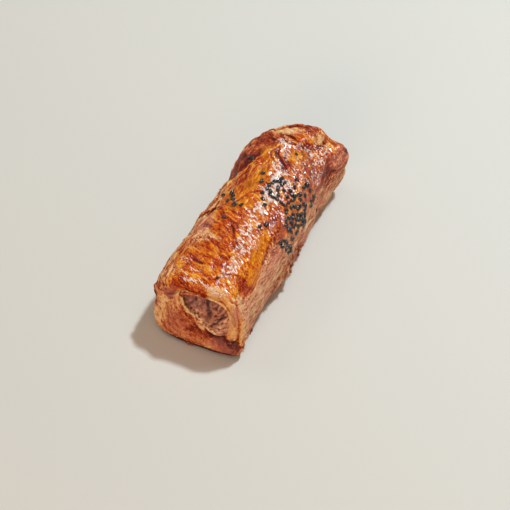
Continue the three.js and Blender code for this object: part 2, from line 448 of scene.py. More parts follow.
ply_fade = sheet_fade * step(past_edge, -PLY_REACH, 4 - PLY_REACH) * step(past_edge, 0, -1)
relief -= ply_fade * PLY_HEIGHT * ((ply % 1) ** 2 - 0.3)
ply_line = ply_fade * hump(((ply % 1) - 0.9) / 0.12)
print("free edge stands %.2f mm proud" % (relief.max() - relief.min()))

# %% Creases, folds and overlapping plies
LINES = [  # places (along, around), width, depth, and how much higher the left side stands
    ([(-17, -6), (-22, -2), (-28.4, 2.6), (-37.7, 11.3)], 0.55, 0.75, 0.5),
    ([(-11.1, -25.6), (-8, -23), (-5.3, -20.6)], 0.8, 0.9, 0.0),
    ([(-67, 3), (-62, 6), (-57, 11), (-54, 17), (-53, 23)], 0.45, 0.5, 0.35),
    ([(-54, -14), (-55, -9), (-57, -5)], 0.7, 0.5, 0.0),
    ([(-69, 20.5), (-72, 26), (-74, 34), (-76, 46)], 0.6, 1.1, 0.0),
    ([(62, -2), (63.5, 5), (62, 12), (63, 20), (60, 27)], 0.8, 0.9, -0.7),
    ([(61, 9), (56, 12), (50, 15)], 0.8, 0.6, 0.4),
    ([(66, 17), (74, 18.5), (82, 20)], 1.4, 1.0, -0.5),
    ([(58, -3.8), (50, -3.4), (44, 2.5), (39, 9)], 0.7, 1.0, 0.5),
    ([(56, 0), (49, 2), (42.5, 8)], 0.6, 0.9, 0.0),
    ([(60, 30), (50, 33.5), (40, 33), (30, 35)], 0.9, 0.8, 0.0),
    ([(-8, -12), (0, -9), (9, -4), (16, 4)], 0.7, 0.5, 0.4),
    ([(66, -30), (64, -20), (69, -10), (66, -3)], 0.8, 0.9, -0.9),
    ([(74, -20), (79, -8), (80, 2)], 0.7, 0.6, 0.6),
    ([(40, -40), (50, -34), (60, -30)], 0.7, 0.6, 0.3),
    ([(34, -34), (46, -26), (58, -21)], 0.6, 0.5, 0.3),
    ([(-52, 24), (-40, 27), (-28, 25), (-16, 22)], 0.7, 0.35, 0.0),
    ([(-20, -31), (-34, -28), (-47, -31)], 0.8, 0.5, 0.0),
    ([(-38, -24), (-34, -15), (-36, -6)], 0.8, 0.35, 0.3),
    ([(-13, -50), (-12, -38), (-10, -28), (-5, -21)], 0.7, 0.8, 0.8),
    ([(54, -6), (47, -3), (41, 3), (36, 8)], 0.5, 0.7, 0.0),
    ([(52, -8), (45, -5), (38, 1)], 0.5, 0.7, 0.0),
    ([(68, 2), (63, 12), (57, 20)], 0.6, 0.5, 0.3),
    ([(70, 22), (63, 27), (56, 29)], 0.6, 0.6, -0.4),
    ([(72, -10), (69, 0), (64, 8)], 0.6, 0.5, 0.4)]
LIFT_WIDTH = 4.5
crease_line = np.zeros(X.shape)
wandering = base + 0.5 * noise(base, 4, 11)[..., None]
for places, width, depth, lift in LINES:
    distance, along, side = near_path(wandering, path_space(places))
    fade = taper(along) * wound
    relief -= fade * depth * hump(distance / width)
    relief += fade * lift * side * (1 - hump(distance / 0.3)) * hump(distance / LIFT_WIDTH)
    crease_line = np.maximum(crease_line, fade * hump(distance / (width * 1.1)) * min(1, depth))
print("creases cover %.1f%% of the grid" % (100 * (crease_line > 0.4).mean()))


# %% [markdown]
# Wrinkles in one direction are noise that is stretched along it. Each part of the side has its own direction,
# because the sheet was pulled another way there: across the top in the glaze, along the free edge beside it,
# and lengthwise on both sides. Broad wrinkles carry thin ones, and both also tint the crust: the grooves are
# painted darker than the crests, partly as browning and partly as painted shade. The wrinkles on top are low,
# so that the gloss breaks into long glints.

# %% Patches and directions
SOFT, WOBBLE = 0.35, 0.35
outer = ~is_zone["mouth"] * 1.0
side_weight = wound * (1 - underneath)
patch_wobble = WOBBLE * rough(base, 7, 3, 31)
spot_wobble = WOBBLE * rough(base, 5, 3, 33)
bend = 1.6 * noise(base, 9, 20)
print("wrinkles bend by up to %.1f mm" % np.abs(bend).max())


def patch(y, around, along, across, turn=0.0):
    """1 inside an oval place on the unrolled surface, with an uneven soft edge."""
    c, s = math.cos(math.radians(turn)), math.sin(math.radians(turn))
    dy, dr = Y - y, AROUND - around
    r = np.hypot((dy * c + dr * s) / along, (-dy * s + dr * c) / across)
    return step(r + patch_wobble, 1 + SOFT, 1 - SOFT) * outer


def spot(x, z, reach_x, reach_z):
    """1 inside an oval place on an end, seen from in front, with an uneven soft edge."""
    r = np.hypot((X - x) / reach_x, (Z - z) / reach_z)
    return step(r + spot_wobble, 1 + SOFT, 1 - SOFT)


def oval(x, z, reach_x, reach_z):
    """A smooth bell on an end."""
    return hump(np.hypot((X - x) / reach_x, (Z - z) / reach_z))


def sum_of(shape, rows):
    """The sum of patches or spots, each given as its strength and then its place."""
    return sum(strength * shape(*place) for strength, *place in rows)


def strongest(shape, rows):
    return np.maximum.reduce([strength * shape(*place) for strength, *place in rows])


def wrinkles(run_along, run_around, width, length, seed, octaves=2):
    """Folds that run in a direction of the unrolled surface."""
    size = math.hypot(run_along, run_around)
    a, r = run_along / size, run_around / size
    u, v = Y * a + AROUND * r, -Y * r + AROUND * a + bend
    return rough(np.stack([u, v, flat], -1), (length, width, 9), octaves, seed)


# %% Wrinkles in each part's direction
right_side = step(AROUND, 22, 32)
left_side = step(AROUND, -14, -24)
far_part = step(Y, 57, 64) * (1 - right_side)
near_part = step(Y, -44, -54) * (1 - right_side) * (1 - left_side)
by_edge = np.clip(patch(26, -12, 28, 13) + patch(46, -7, 16, 6), 0, 1) * (1 - far_part)
on_top = np.clip(1 - right_side - left_side - far_part - near_part - by_edge, 0, 1)
PULLS = [  # where, run (along, around), height of broad and thin wrinkles, tint of broad and thin ones
    (on_top, (-5.2, 8.6), 0.13, 0.08, 0.26, 0.24), (near_part, (-2.2, 9.7), 0.16, 0.08, 0.24, 0.22),
    (by_edge, (9.6, 2.8), 0.17, 0.10, 0.28, 0.26), (left_side, (9.7, 2.4), 0.38, 0.22, 0.36, 0.30),
    (right_side, (10, 0.4), 0.30, 0.20, 0.26, 0.34), (far_part, (-2.5, 9.6), 0.18, 0.10, 0.26, 0.24)]
BROAD_WIDTH, BROAD_LENGTH, THIN_WIDTH, THIN_LENGTH = 3.0, 18, 1.3, 13
tint, groove_line = np.zeros(X.shape), np.zeros(X.shape)
# Painted shade in part: the tint makes the grooves darker than the crests.
for k, (place, run, high, low, broad_tint, thin_tint) in enumerate(PULLS):
    broad = wrinkles(*run, BROAD_WIDTH, BROAD_LENGTH, 2 * k + 120)
    thin = wrinkles(*run, THIN_WIDTH, THIN_LENGTH, 2 * k + 121, 1)
    weight = place * side_weight
    relief += weight * (high * broad + low * thin)
    tint += weight * (broad_tint * broad + thin_tint * thin)
    groove_line = np.maximum(groove_line, weight * np.maximum(hump(broad / 0.07), 0.7 * hump(thin / 0.09)))
tint *= 1 - 0.25 * under_layer
relief += side_weight * right_side * 0.14 * wrinkles(-4, 9, 1.6, 9, 18, 1)
print("wrinkles tint the crust from %.2f to %.2f" % (tint.min(), tint.max()))

# %% Unevenness and torn sheets
LAYERS = [(-0.55, 0.22), (-0.3, 0.2), (-0.08, 0.22), (0.14, 0.24), (0.38, 0.22)]  # level of a torn edge, rise
fold_height = 0.14 + 0.14 * (left_side + far_part) * (1 - under_layer)
relief += outer * (1 - underneath) * fold_height * step(ridges(wandering, (7, 9, 7), 8), 0.6, 1.0)
relief += outer * (1 - underneath) * (0.50 * noise(base, 13, 9) + 0.20 * noise(base, 5.5, 10))
relief += side_weight * (0.11 * on_top + 0.05) * noise(base, 3.2, 12)
leaning = np.stack([Y * 0.8 - AROUND * 0.6, (Y * 0.6 + AROUND * 0.8) * 2.2, flat], -1)
torn = rough(leaning, 15, 4, 91) * (1 - underneath)
torn_line = np.zeros(X.shape)
for level, rise in LAYERS:
    relief += wound * rise * step(torn, level - 0.02, level + 0.02)
    torn_line = np.maximum(torn_line, wound * hump((torn - level - 0.035) / 0.03))
print("torn edges cover %.1f%% of the grid" % (100 * (torn_line > 0.4).mean()))

# %% [markdown]
# ## The relief of the open end
# Places on the end face are given as (x, z), seen from in front. The flap's edge along the mouth is a pale
# ply that stands a little proud, with another behind it. A crease sets the band off from the side sheet,
# whose edge is raised. At the upper left the face is dented and pleated below a pointed ear of dough, with a
# notch under the lip, and fine wrinkles slant down the flap's left part.

# %% The flap and the band
face_xz = np.stack([X, Z], -1)
front = np.clip(is_zone["open_face"] + is_zone["open_rim"] * step(Y, -71, -73), 0, 1)
FLAP_EDGE = [(-9.8, 31.5), (-9.2, 29), (-5.4, 26), (-1.4, 23.4), (2.8, 17.2), (8.8, 13), (14, 12.8), (18, 13)]
FLAP_WIDTH, FLAP_FRAY, SECOND_PLY, SECOND_FRAY = 2.8, 1.3, 6.4, 0.8
BAND_FOOT = [(25, 15), (24, 12.6), (21, 12.2), (18, 13)]
BAND = [(15, 39.5), (20.5, 36.5), (23.2, 32), (25, 24), (25.4, 14), (25, 6), (24, 2)]
flap_distance, _, _ = near_path(face_xz, FLAP_EDGE)
flap_wander = flap_distance + 0.5 * noise(base, 3.5, 41) + 0.25 * noise(base, 1.2, 42)
upper_edge = step(X, 7, 2)
frayed = rough(base, 2.2, 3, 48)
flap_edge = front * step(flap_wander + 1.1 * frayed, FLAP_WIDTH, FLAP_WIDTH - FLAP_FRAY) * upper_edge
relief += flap_edge * (0.35 + 0.4 * frayed)
relief += front * (0.35 * step(flap_wander, SECOND_PLY, SECOND_PLY - SECOND_FRAY) - 0.3) * upper_edge
band_foot = front * line(face_xz, BAND_FOOT, 0.6, 0.15)
relief -= 0.6 * band_foot
band_distance, band_along, band_side = near_path(face_xz + 0.4 * noise(base, 4, 43)[..., None], BAND)
band_place = step(Y, -64, -68) * (wound | is_zone["open_face"])
band_crease = band_place * taper(band_along, 0.12) * hump(band_distance / 0.5)
outside_band = band_place * taper(band_along, 0.1) * (band_side > 0) * hump((band_distance - 1.3) / 0.9)
inside_band = band_place * taper(band_along, 0.1) * (band_side < 0) * hump((band_distance - 1.8) / 1.5)
relief += 0.75 * outside_band + 0.25 * inside_band - 0.8 * band_crease
print("frayed edge on %.0f%% of the open end" % (100 * flap_edge[is_zone["open_face"]].mean()))

# %% The ear, the notch and the slanting wrinkles
EAR_LINE = [(-34, 28.5), (-30, 31), (-26, 33), (-21, 35.2), (-18, 36.8)]
NOTCH = [(-19, 36.4), (-16, 35.8), (-12.5, 34.4), (-10.5, 32)]
hollow = front * oval(-22.5, 29.5, 7.5, 5)
slanting = rough(np.stack([X + Z, X - Z, flat], -1), (1.5, 11, 9), 2, 44)
flap_wrinkles = front * oval(-23, 18, 8, 11) * slanting
pleats = rough(np.stack([X - Z, X + Z, flat], -1), (2.4, 12, 9), 1, 49)
pleats = front * oval(-20, 27, 6, 5) * pleats
notch = front * line(face_xz, NOTCH, 0.8, 0.2)
relief += 0.45 * pleats + 0.42 * flap_wrinkles - 1.5 * hollow - 0.7 * notch
relief += front * (0.5 * noise(base, 9, 45) + 0.22 * noise(base, 3.2, 46))
ear_distance, _, ear_side = near_path(face_xz + 0.5 * noise(base, 3, 47)[..., None], EAR_LINE)
ear_weight = band_place * step(X, -16, -20) * step(Y, -67, -69)
ear_line = ear_weight * hump(ear_distance / 0.7)
relief += ear_weight * step(ear_side * ear_distance, -0.4, 0.4) * 0.7 - 0.6 * ear_line
print("relief of the open end from %.2f to %.2f mm" % (
    relief[is_zone["open_face"]].min(), relief[is_zone["open_face"]].max()))

# %% [markdown]
# The mouth's wall is rough. The far end is folded in, so tucks run to its middle and three folds cross it,
# and a small knob of dough stands out at its upper right.

# %% The mouth's wall and the folded end
FAR_FOLDS = [([(-24, 30), (-8, 36), (4, 33)], 1.3), ([(24, 30), (12, 34), (2, 30)], 1.2),
             ([(-20, 12), (0, 17), (20, 14)], 1.0)]
FAR_MIDDLE, TUCK_RING = 21, 8
KNOB_Y, KNOB_AROUND, KNOB_REACH, KNOB_RISE = 80.3, 30, 2.2, 1.3
far_end = is_zone["folded_face"] * 1.0
relief += is_zone["mouth"] * 0.25 * rough(base, 3, 2, 51) * step(Y, BORE_START, BORE_START - 4)
relief += far_end * (0.5 * noise(base, 9, 52) + 0.3 * rough(base, 4, 2, 53))
far_turn, far_reach = np.arctan2(Z - FAR_MIDDLE, X), np.hypot(X, Z - FAR_MIDDLE)
on_ring = np.stack([TUCK_RING * np.cos(far_turn), TUCK_RING * np.sin(far_turn), far_reach / 5], -1)
tucks = rough(on_ring, 3, 2, 55) * far_end * step(far_reach, 2, 8)
relief += 0.55 * tucks
relief += KNOB_RISE * hump(np.hypot(Y - KNOB_Y, AROUND - KNOB_AROUND) / KNOB_REACH) * wound
for places, depth in FAR_FOLDS:
    distance, along, side = near_path(face_xz + 0.8 * noise(base, 5, 54)[..., None], places)
    relief += far_end * taper(along) * depth * (0.5 * side * hump(distance / 5) - 0.6 * hump(distance / 0.9))
print("relief from %.2f to %.2f mm" % (relief.min(), relief.max()))

# %% [markdown]
# The relief moves each point along the normal of the smooth shape. Underneath, the roll is pressed on the
# table, so nothing goes below it. How far a point lies below its surroundings is kept too: the hollows are
# painted darker and the crests paler, partly as browning where egg gathered and partly as painted shade.

# %% The finished surface
def blurred(values, times):
    for _ in range(times):
        values = (values + np.roll(values, 1, 1) + np.roll(values, -1, 1)) / 3
        padded = np.vstack([values[:1], values, values[-1:]])
        values = (padded[:-2] + padded[1:-1] + padded[2:]) / 3
    return values


PRESSED_BELOW, HOLLOW_BLUR, HOLLOW_DEPTH = 3, 12, 0.35
relief *= 1 - underneath * (Z < PRESSED_BELOW)
surface = base + base_normal * relief[..., None]
surface[0] = surface[0].mean(0)
surface[..., 2] = np.maximum(surface[..., 2], 0)
surface_normal = grid_normals(surface) * outwards
hollowness = np.clip((blurred(relief, HOLLOW_BLUR) - relief) / HOLLOW_DEPTH, -1, 1)
print("crust, mm:", surface.min((0, 1)).round(1), "to", surface.max((0, 1)).round(1))

# %% [markdown]
# ## Painting the crust
# Egg wash, browning, yolk, a rosy tinge, char and the painted highlights are each painted as a value from 0
# to 1 on the grid, and the material turns them into colour and gloss. The browning is partly painted shade in
# hollows, grooves and creases, and the rosy tinge is partly a painted reflection. Each table below gives the
# strength of a patch, its place (along, around), its reach both ways and, for a few, its turn. The wash covers
# the top and stops in an uneven line on the right; the left side and the ends are mostly bare. In the sums, a
# number before a shape is how much it adds.

# %% Egg wash
GLAZE_RIGHT = np.array([(-80, 17), (-70, 20), (-62, 27.5), (-55, 30.5), (-50, 31.5), (-43, 29), (-34, 26),
                        (-26, 23.5), (-18, 23), (-10, 28), (0, 34), (20, 37), (40, 36), (56, 35), (66, 31),
                        (74, 26), (90, 22)])
GLAZE_LEFT, LIP_START, LIP_END = -25, -70, -72.5
BARE = [(1, -31, -20, 13, 8, -8), (1, -34, -14, 3.5, 9), (1, -62, -27, 9, 6), (1, -71, 12, 3, 7),
        (1, -4, -22, 9, 4), (1, 74, -10, 6, 12), (0.7, 77, 6, 6, 8), (1, 76, 16, 5, 7), (0.6, 55, 12, 6, 6)]
right_limit = np.interp(Y, *GLAZE_RIGHT.T) + 2.2 * rough(base, 6, 3, 61)
left_limit = GLAZE_LEFT + 5 * noise(base, 16, 62) + 3 * rough(base, 5, 2, 63)
lip_top = step(np.abs(AROUND + 1), 19, 13)
washed = step(right_limit - AROUND, -1.2, 1.2) * step(AROUND - left_limit, -4, 4)
washed *= wound * (1 - step(Y + 4 * (1 - lip_top), LIP_START, LIP_END))
washed *= (1 - 0.85 * strongest(patch, BARE)) * (1 - 0.55 * under_layer)
washed *= (1 - 0.5 * patch(13, -24, 8, 4)) * (1 - 0.4 * patch(26, -21, 6, 3.5))
print("washed share of the side: %.2f" % washed[wound].mean())

# %% [markdown]
# Browning is deepest where the wash lay thick, in grooves and creases, and on the layer behind the free
# edge; the dark in grooves, creases and hollows is partly painted shade, and just past the free edge it is
# painted shadow. The free edge itself, crests and torn edges stay pale. One stripe of rust follows a fold
# near the far end.

# %% Browning of the side
BROWNED = [
    (0.13, -47, -7, 12, 9), (0.12, -55, -10, 3, 4), (0.24, 16, -10, 9, 5), (0.30, 22, 17.5, 32, 2.2),
    (-0.2, -22, 17.5, 7, 3), (0.26, 46, 28, 20, 8), (0.45, 62.5, 10, 1.6, 12), (0.14, -8, -14, 6, 8),
    (0.24, -58, 21, 5, 6), (-0.3, -69, 24, 4, 6), (-0.2, -66, 13, 4, 5), (0.06, -22, -3, 7, 5),
    (0.18, -15, 26, 12, 5), (0.08, -62, -2, 6, 10), (-0.22, -33, -15, 4, 9), (-0.08, -64, -20, 4, 10),
    (-0.20, 74, -10, 6, 13), (-0.34, 76, -6, 5, 8), (0.34, 77, 6, 5, 6), (0.07, -14, -9, 40, 7),
    (0.08, -40, 36, 12, 6), (-0.15, -60, 36, 8, 12), (-0.16, 70, 16, 7, 8), (-0.1, -30, 42, 30, 8),
    (-0.3, -71, 12, 3, 8), (0.16, 64, 36, 16, 9), (-0.22, 12, 20, 16, 3), (-0.10, -40, 45, 30, 9),
    (-0.12, -72, 34, 6, 10), (0.14, 36, -20, 18, 12), (0.14, 13, -5, 10, 6), (0.14, -15, 15, 8, 5),
    (0.16, -9, 22, 9, 5), (0.12, -46, 2, 10, 5), (0.10, -60, -1, 7, 5), (0.12, -65, -13, 5, 6),
    (0.10, -29, -20, 8, 5), (-0.10, -42, -14, 6, 5), (-0.10, -22, 1, 6, 4), (0.14, 42, 18, 10, 7),
    (0.12, 66, 5, 8, 6), (0.10, 71, 15, 6, 6), (-0.14, 73, -4, 5, 5), (0.10, -53, 28, 8, 4),
    (0.10, 41, -9, 9, 5), (-0.06, 11, -14, 8, 5), (0.16, 60, 33, 8, 6), (0.10, 48, 26, 8, 6),
    (-0.22, 55, -14, 6, 6), (-0.22, 13, -24, 7, 4), (-0.16, -15, -19, 7, 5), (0.18, 0, 17, 8, 5),
    (0.14, -31, 25, 9, 5), (0.16, -54, 27, 9, 5), (0.16, -15, 15, 6, 4), (0.14, 1, -27, 7, 4),
    (-0.2, -64, -20, 6, 5), (-0.26, -62, -5, 6, 5), (-0.22, -60, 2, 4, 4), (-0.18, -50, -3, 6, 4),
    (-0.2, -11, -31, 6, 4), (-0.16, 78, 10, 5, 6), (0.16, 79, 26, 4, 5), (-0.26, 71, 8, 2.4, 5),
    (-0.32, 76.5, 19, 2.6, 7), (0.26, 67.5, 13, 2.6, 4), (0.26, 71, 21, 3, 4), (0.14, 62, 8, 4, 4)]
RUST_STRIPE = path_space([(55, -8), (49, -2.5), (44.5, 3.5), (39.5, 9.5)])
rust_stripe = line(wandering, RUST_STRIPE, 2, 0.12) * side_weight
far_low_right = step(AROUND, 38, 44) * step(Y, 50, 60) * wound
# Painted shade, on top of browning: grooves, creases and hollows darker.
baked = 0.44 + 0.15 * rough(base, 14, 2, 71) - tint + 0.16 * groove_line + 0.20 * hollowness
baked += sum_of(patch, BROWNED) + 0.34 * rust_stripe - 0.22 * far_low_right
baked += 0.34 * under_layer + 0.6 * crease_line + 0.18 * ply_line - 0.34 * torn_line
# Painted shadow just past the free edge, at the foot of its step; the edge itself paler.
baked += sheet_fade * (0.35 * hump((past_edge - 0.5) / 0.6) - 0.40 * hump((past_edge + 0.8) / 0.7))
baked += wound * (0.12 * step(AROUND, 24, 34) * step(Y, 30, 50) - 0.08 * right_side)
baked += wound * 0.12 * step(AROUND, -32, -40)
print("browning of the side from %.2f to %.2f" % (baked[wound].min(), baked[wound].max()))

# %% Yolk, rosy tinge with painted reflection, and char on the side
YOLKY = [(1, -37, 22, 19, 4.4, -17), (0.65, 26, -6, 20, 6), (0.5, -2, -8, 7, 9), (0.6, 55, 10, 6, 7),
         (0.6, 50, -9, 9, 4), (0.7, -21, 18, 8, 3.5), (0.35, -60, 12, 9, 5), (0.3, 0, 8, 20, 6)]
# Rosy tinge: partly the crust's own tone, partly a painted reflection of cool light on the sides.
ROSY_AND_SHEEN = [(0.75, -32, 34, 22, 6), (0.55, 0, 40, 30, 8), (0.4, 14, 28, 26, 6), (0.3, 45, 20, 18, 9),
        (0.5, 50, 34, 18, 8), (0.4, 38, -34, 16, 8), (0.5, -22, -20, 8, 7), (0.4, -66, 28, 6, 5),
        (0.35, -18, 46, 30, 8)]
CHARRED = [(0.5, -11, -25, 2.5, 2.5), (0.45, -23.6, -19.2, 2.5, 2.5), (0.5, 44, -17.5, 2.5, 2),
           (0.6, 80.3, 30, 2, 1.8), (0.7, -70.5, -38.5, 1.8, 1.6), (0.35, -35, 37, 2, 1.6),
           (0.3, -17, -10, 1.2, 1.2)]
yolk = strongest(patch, YOLKY)
rosy = np.maximum(strongest(patch, ROSY_AND_SHEEN), side_weight * np.maximum(
    0.6 * right_side, 0.5 * step(AROUND, -33, -42)))
rosy = np.maximum(rosy, 0.4 * far_low_right)
rosy *= (1 - 0.85 * patch(59, 34, 10, 8)) * (1 - 0.7 * patch(-53, 28, 10, 5))
char = strongest(patch, CHARRED)
print("yolk on %.1f%% of the side" % (100 * (yolk[wound] > 0.4).mean()))

# %% [markdown]
# Painted highlights: where the glaze glints, near-white flecks are laid into its colour, in a ragged line
# along the crest, on a fold near the far end, in patches beside them, and as a gleam along the top of the lip.

# %% Painted highlights on the glaze
LIP_GLEAM = [(-16, -68, 39.8), (-8.9, -68.4, 41.8), (-2.4, -69, 42.3), (6.7, -70.6, 41), (15.1, -72.6, 38)]
GLINT_LINE = path_space([(-68, 12), (-56, 10.5), (-48, 11), (-40, 10.5), (-32, 8.8), (-20, 6.8), (-8, 5.5),
                         (5, 6), (20, 6.5), (33, 3.5), (47, 0), (56, 1.5), (64, -4)])
FOLD_GLEAM = path_space([(65.5, 2), (63, 10), (60.8, 15.8), (60.6, 23), (58, 27)])
GLINT_PATCHES = [(0.6, 26, 14, 9, 6), (0.75, 11, 12, 6, 4), (0.7, 38, 9, 6, 4), (0.62, 58, 19.5, 8, 5),
           (0.6, 34, 21, 8, 5), (0.6, 49, 27, 8, 5), (0.5, 46, 10, 9, 5), (0.6, -30, 14, 8, 5),
           (0.3, -6, 12, 8, 4), (0.5, -34, -16, 6, 6), (0.5, -64, -12, 5, 10), (0.6, 70, 22, 6, 8),
           (0.55, -54, -16, 5, 5), (0.5, -64, -20, 6, 4), (0.65, 16, 2, 6, 4), (0.5, 73, -4, 4, 8),
           (0.45, -29, -5, 6, 3)]
# Painted highlights: the gleam along the lip, the band along the crest, the fold near the far end and patches.
lip_part = wound | is_zone["open_face"]
lip_gleam = line(wandering, LIP_GLEAM, 2.2, 0.12) * lip_part
glint_distance, _, _ = near_path(base, GLINT_LINE)
glint_band = step(glint_distance + 2.2 * rough(base, 6, 2, 64), 6.5, 3) * (0.76 + 0.22 * hump((Y - 22) / 14))
fold_distance, fold_along, _ = near_path(base, FOLD_GLEAM)
fold_gleam = taper(fold_along, 0.1) * step(fold_distance, 3.2, 1.6)
bloom = np.maximum.reduce([glint_band, 0.8 * fold_gleam, strongest(patch, GLINT_PATCHES)])
bloom *= side_weight * (1 - 0.6 * patch(-65, 13, 5, 4)) * (1 - 0.9 * rust_stripe)
bloom = np.maximum(bloom, lip_gleam)
print("dried glaze on %.1f%% of the side" % (100 * (bloom[wound] > 0.4).mean()))

# %% [markdown]
# The open end is bare dough, pale on the flap's frayed edge and on the band at the right, and darkest along
# its foot. Painted shade darkens it under the ear, in the notch below the lip, along the flap's edge, in the
# band's crease and foot, at the mouth's right edge and in hollows, and a painted highlight pales the gleam
# along the lip. The lip's front caught some egg and is rust-brown. There, and in the mouth, these values
# take the place of those of the side.

# %% Browning, painted shade and painted highlight of the open end
# The two spots under the ear, at (-22, 31) and (-24, 31.5), are painted shadow.
FACE_BROWNING_AND_SHADE = [
    (0.22, -12, 17, 11, 9), (0.22, 3, 12, 11, 4), (-0.27, -28, 14, 6, 13), (0.10, 22.8, 30, 2.2, 7),
    (-0.2, 19.3, 30, 1.8, 8), (-0.12, -20, 26, 7, 4), (0.18, 18, 8, 7, 6), (-0.08, -2, 5, 16, 3.5),
    (0.15, -22, 31, 9, 4), (0.34, -24, 31.5, 7, 4), (-0.22, -14.5, 31, 3.5, 4), (0.35, 20, 9, 8, 5.5),
    (0.4, 27, 7, 4, 7)]
LIP_FACE = [(-20.5, -69, 38.6), (-14.8, -70.5, 38.8), (-7.6, -71.3, 38.7), (-1, -71.9, 38.4),
            (4.5, -73, 37.4)]
LIP_EDGE = [(-13, -69, 40.4), (-6, -69.6, 40.9), (0, -70.2, 40.7), (4, -71, 40), (9, -72.4, 38.9),
            (14, -74.2, 37.6)]
speckle = rough(base, 2.2, 3, 75)
band_pale = front * step(X + 0.35 * (Z - 22), 15.5, 17.5) * step(Z, 9, 13) * (1 - 0.6 * step(X, 25, 26.5))
lip_pale = spot(13, 38, 8, 3.4) * band_place
lip_distance, lip_along, _ = near_path(wandering, LIP_FACE)
lip_front = np.maximum(step(lip_distance, 4.0, 2.8) * taper(lip_along, 0.08), spot(-8.5, 37.4, 4, 1.2))
lip_front *= (1 - lip_gleam) * (1 - is_zone["mouth"])
lip_line = line(wandering, LIP_EDGE, 0.8) * lip_part
# Painted shadow along the flap's edge.
edge_shadow = upper_edge * 0.22 * hump(flap_distance - 3.6)
edge_shadow += (1 - upper_edge) * 0.5 * hump(flap_distance - 0.6) * step(X, 19, 16)
# Painted shade in the groove at the mouth's right edge.
band_edge_shade = 0.4 * oval(17.9, 27, 1, 9)
# Hollows darker: partly browning, partly painted shade.
face_baked = 0.36 + 0.14 * rough(base, 9, 3, 73) + 0.26 * hollowness + 0.16 * speckle
face_baked += sum_of(spot, FACE_BROWNING_AND_SHADE)
face_baked += front * (edge_shadow + band_edge_shade - 0.16 * step(X, 17, 20)) + 0.14 * step(Z, 8, 3)
# Painted shade in the band's crease and along its foot.
face_baked += 0.3 * band_crease + 0.35 * band_foot - 0.22 * outside_band - 0.12 * band_pale
# Painted shade in the notch under the lip and along the ear's crease.
face_baked += 0.4 * notch + 0.2 * ear_line - 0.34 * flap_edge * (0.7 + 0.9 * frayed)
# Painted highlight: the gleam along the lip is made paler.
face_baked += 0.32 * lip_front - 0.75 * lip_pale - 0.5 * lip_gleam - 0.3 * lip_line
face_baked -= 0.24 * flap_wrinkles + 0.28 * pleats
print("browning of the open end: %.2f in the mean" % face_baked[is_zone["open_face"]].mean())

# %% The open end joined to the side
# Rosy tinge on the open end; under the ear it deepens the painted shadow.
FACE_ROSY_AND_SHADOW = [(0.6, 16, 7.5, 8, 4), (1.1, -24, 31.5, 7, 4), (0.3, -16, 12, 8, 8), (0.9, 22.6, 31, 2.2, 6),
             (0.6, 20, 5.5, 6, 3.5)]
FACE_CHARRED = [(0.35, 15, 9.5, 5, 1.8), (0.5, -32, 30, 2, 1.5)]
is_front = np.clip(front + is_zone["mouth"], 0, 1)


def joined(on_side, on_front):
    return on_side * (1 - is_front) + on_front * is_front


corner_char = (0.7 + 0.4 * speckle) * oval(21.6, 10.6, 4.4, 4.4)
foot_char = step(Z + 0.6 * speckle, 3.8, 2.2) * step(Y, -66, -70)
baked = joined(baked - 0.3 * lip_line + 0.08 * lip_front, face_baked) + far_end * 0.06 - 0.32 * tucks
yolk = joined(yolk * (1 - 0.8 * crease_line), np.maximum(0.5 * lip_pale, 0.35 * band_pale))
rosy = joined(rosy, strongest(spot, FACE_ROSY_AND_SHADOW))
char = np.maximum(joined(char, np.maximum(corner_char, strongest(spot, FACE_CHARRED))), foot_char)
washed = np.where(is_zone["mouth"], 0, np.maximum(washed, 0.75 * lip_front))
print("char on %.1f%% of the open end" % (100 * (char[is_zone["open_face"]] > 0.5).mean()))

# %% [markdown]
# Three more values guide the finish: how glossy a place is, how strongly its colour varies, and whether its
# streaks run across the roll, as on top, or along it.

# %% Everything painted on the grid
gloss = washed * (0.3 + 0.3 * step(Y, -50, 30) + 0.4 * glint_band)
contrast = 0.9 * patch(46, 20, 20, 16) + 0.5 * patch(8, 26, 30, 10) + 0.5 * right_side * side_weight
contrast -= 0.6 * under_layer * step(Y, 10, 30) + 0.35 * step(AROUND, -36, -46) * wound
contrast -= 0.5 * is_front + 0.45 * far_end
across = (1 - right_side) * (1 - left_side) * (1 - by_edge) * (1 - is_front)
from_zero = {"across": across, "washed": washed, "baked": baked, "yolk": yolk, "rosy": rosy, "char": char,
             "bloom": bloom, "gloss": gloss}
both_ways = {"contrast": contrast, "hollow": hollowness}
paint = {name: np.clip(values, 0, 1.2) for name, values in from_zero.items()}
paint.update({name: np.clip(values, -1, 1.2) for name, values in both_ways.items()})
print("painted on the grid:", ", ".join(paint))


# %% [markdown]
# ## From the grid to closed pieces
# One mesh of the whole crust would hold too many faces, so it is three pieces that meet edge to edge. Each is
# a grid made by `create_grid`, whose points are then set and whose coincident points are merged: that
# closes the seam along the underside, and the poles. The pieces share the normals of the whole grid, so no
# joint shows.

# %% Wrapping a grid into a piece
def new_object(name, mesh):
    piece = bpy.data.objects.new(name, mesh)
    bpy.context.scene.collection.objects.link(piece)
    return piece


def count_open_edges(bm):
    return sum(not edge.is_manifold for edge in bm.edges)


MERGE_WITHIN, TOO_SHORT = 0.004 * MM, 0.001 * MM


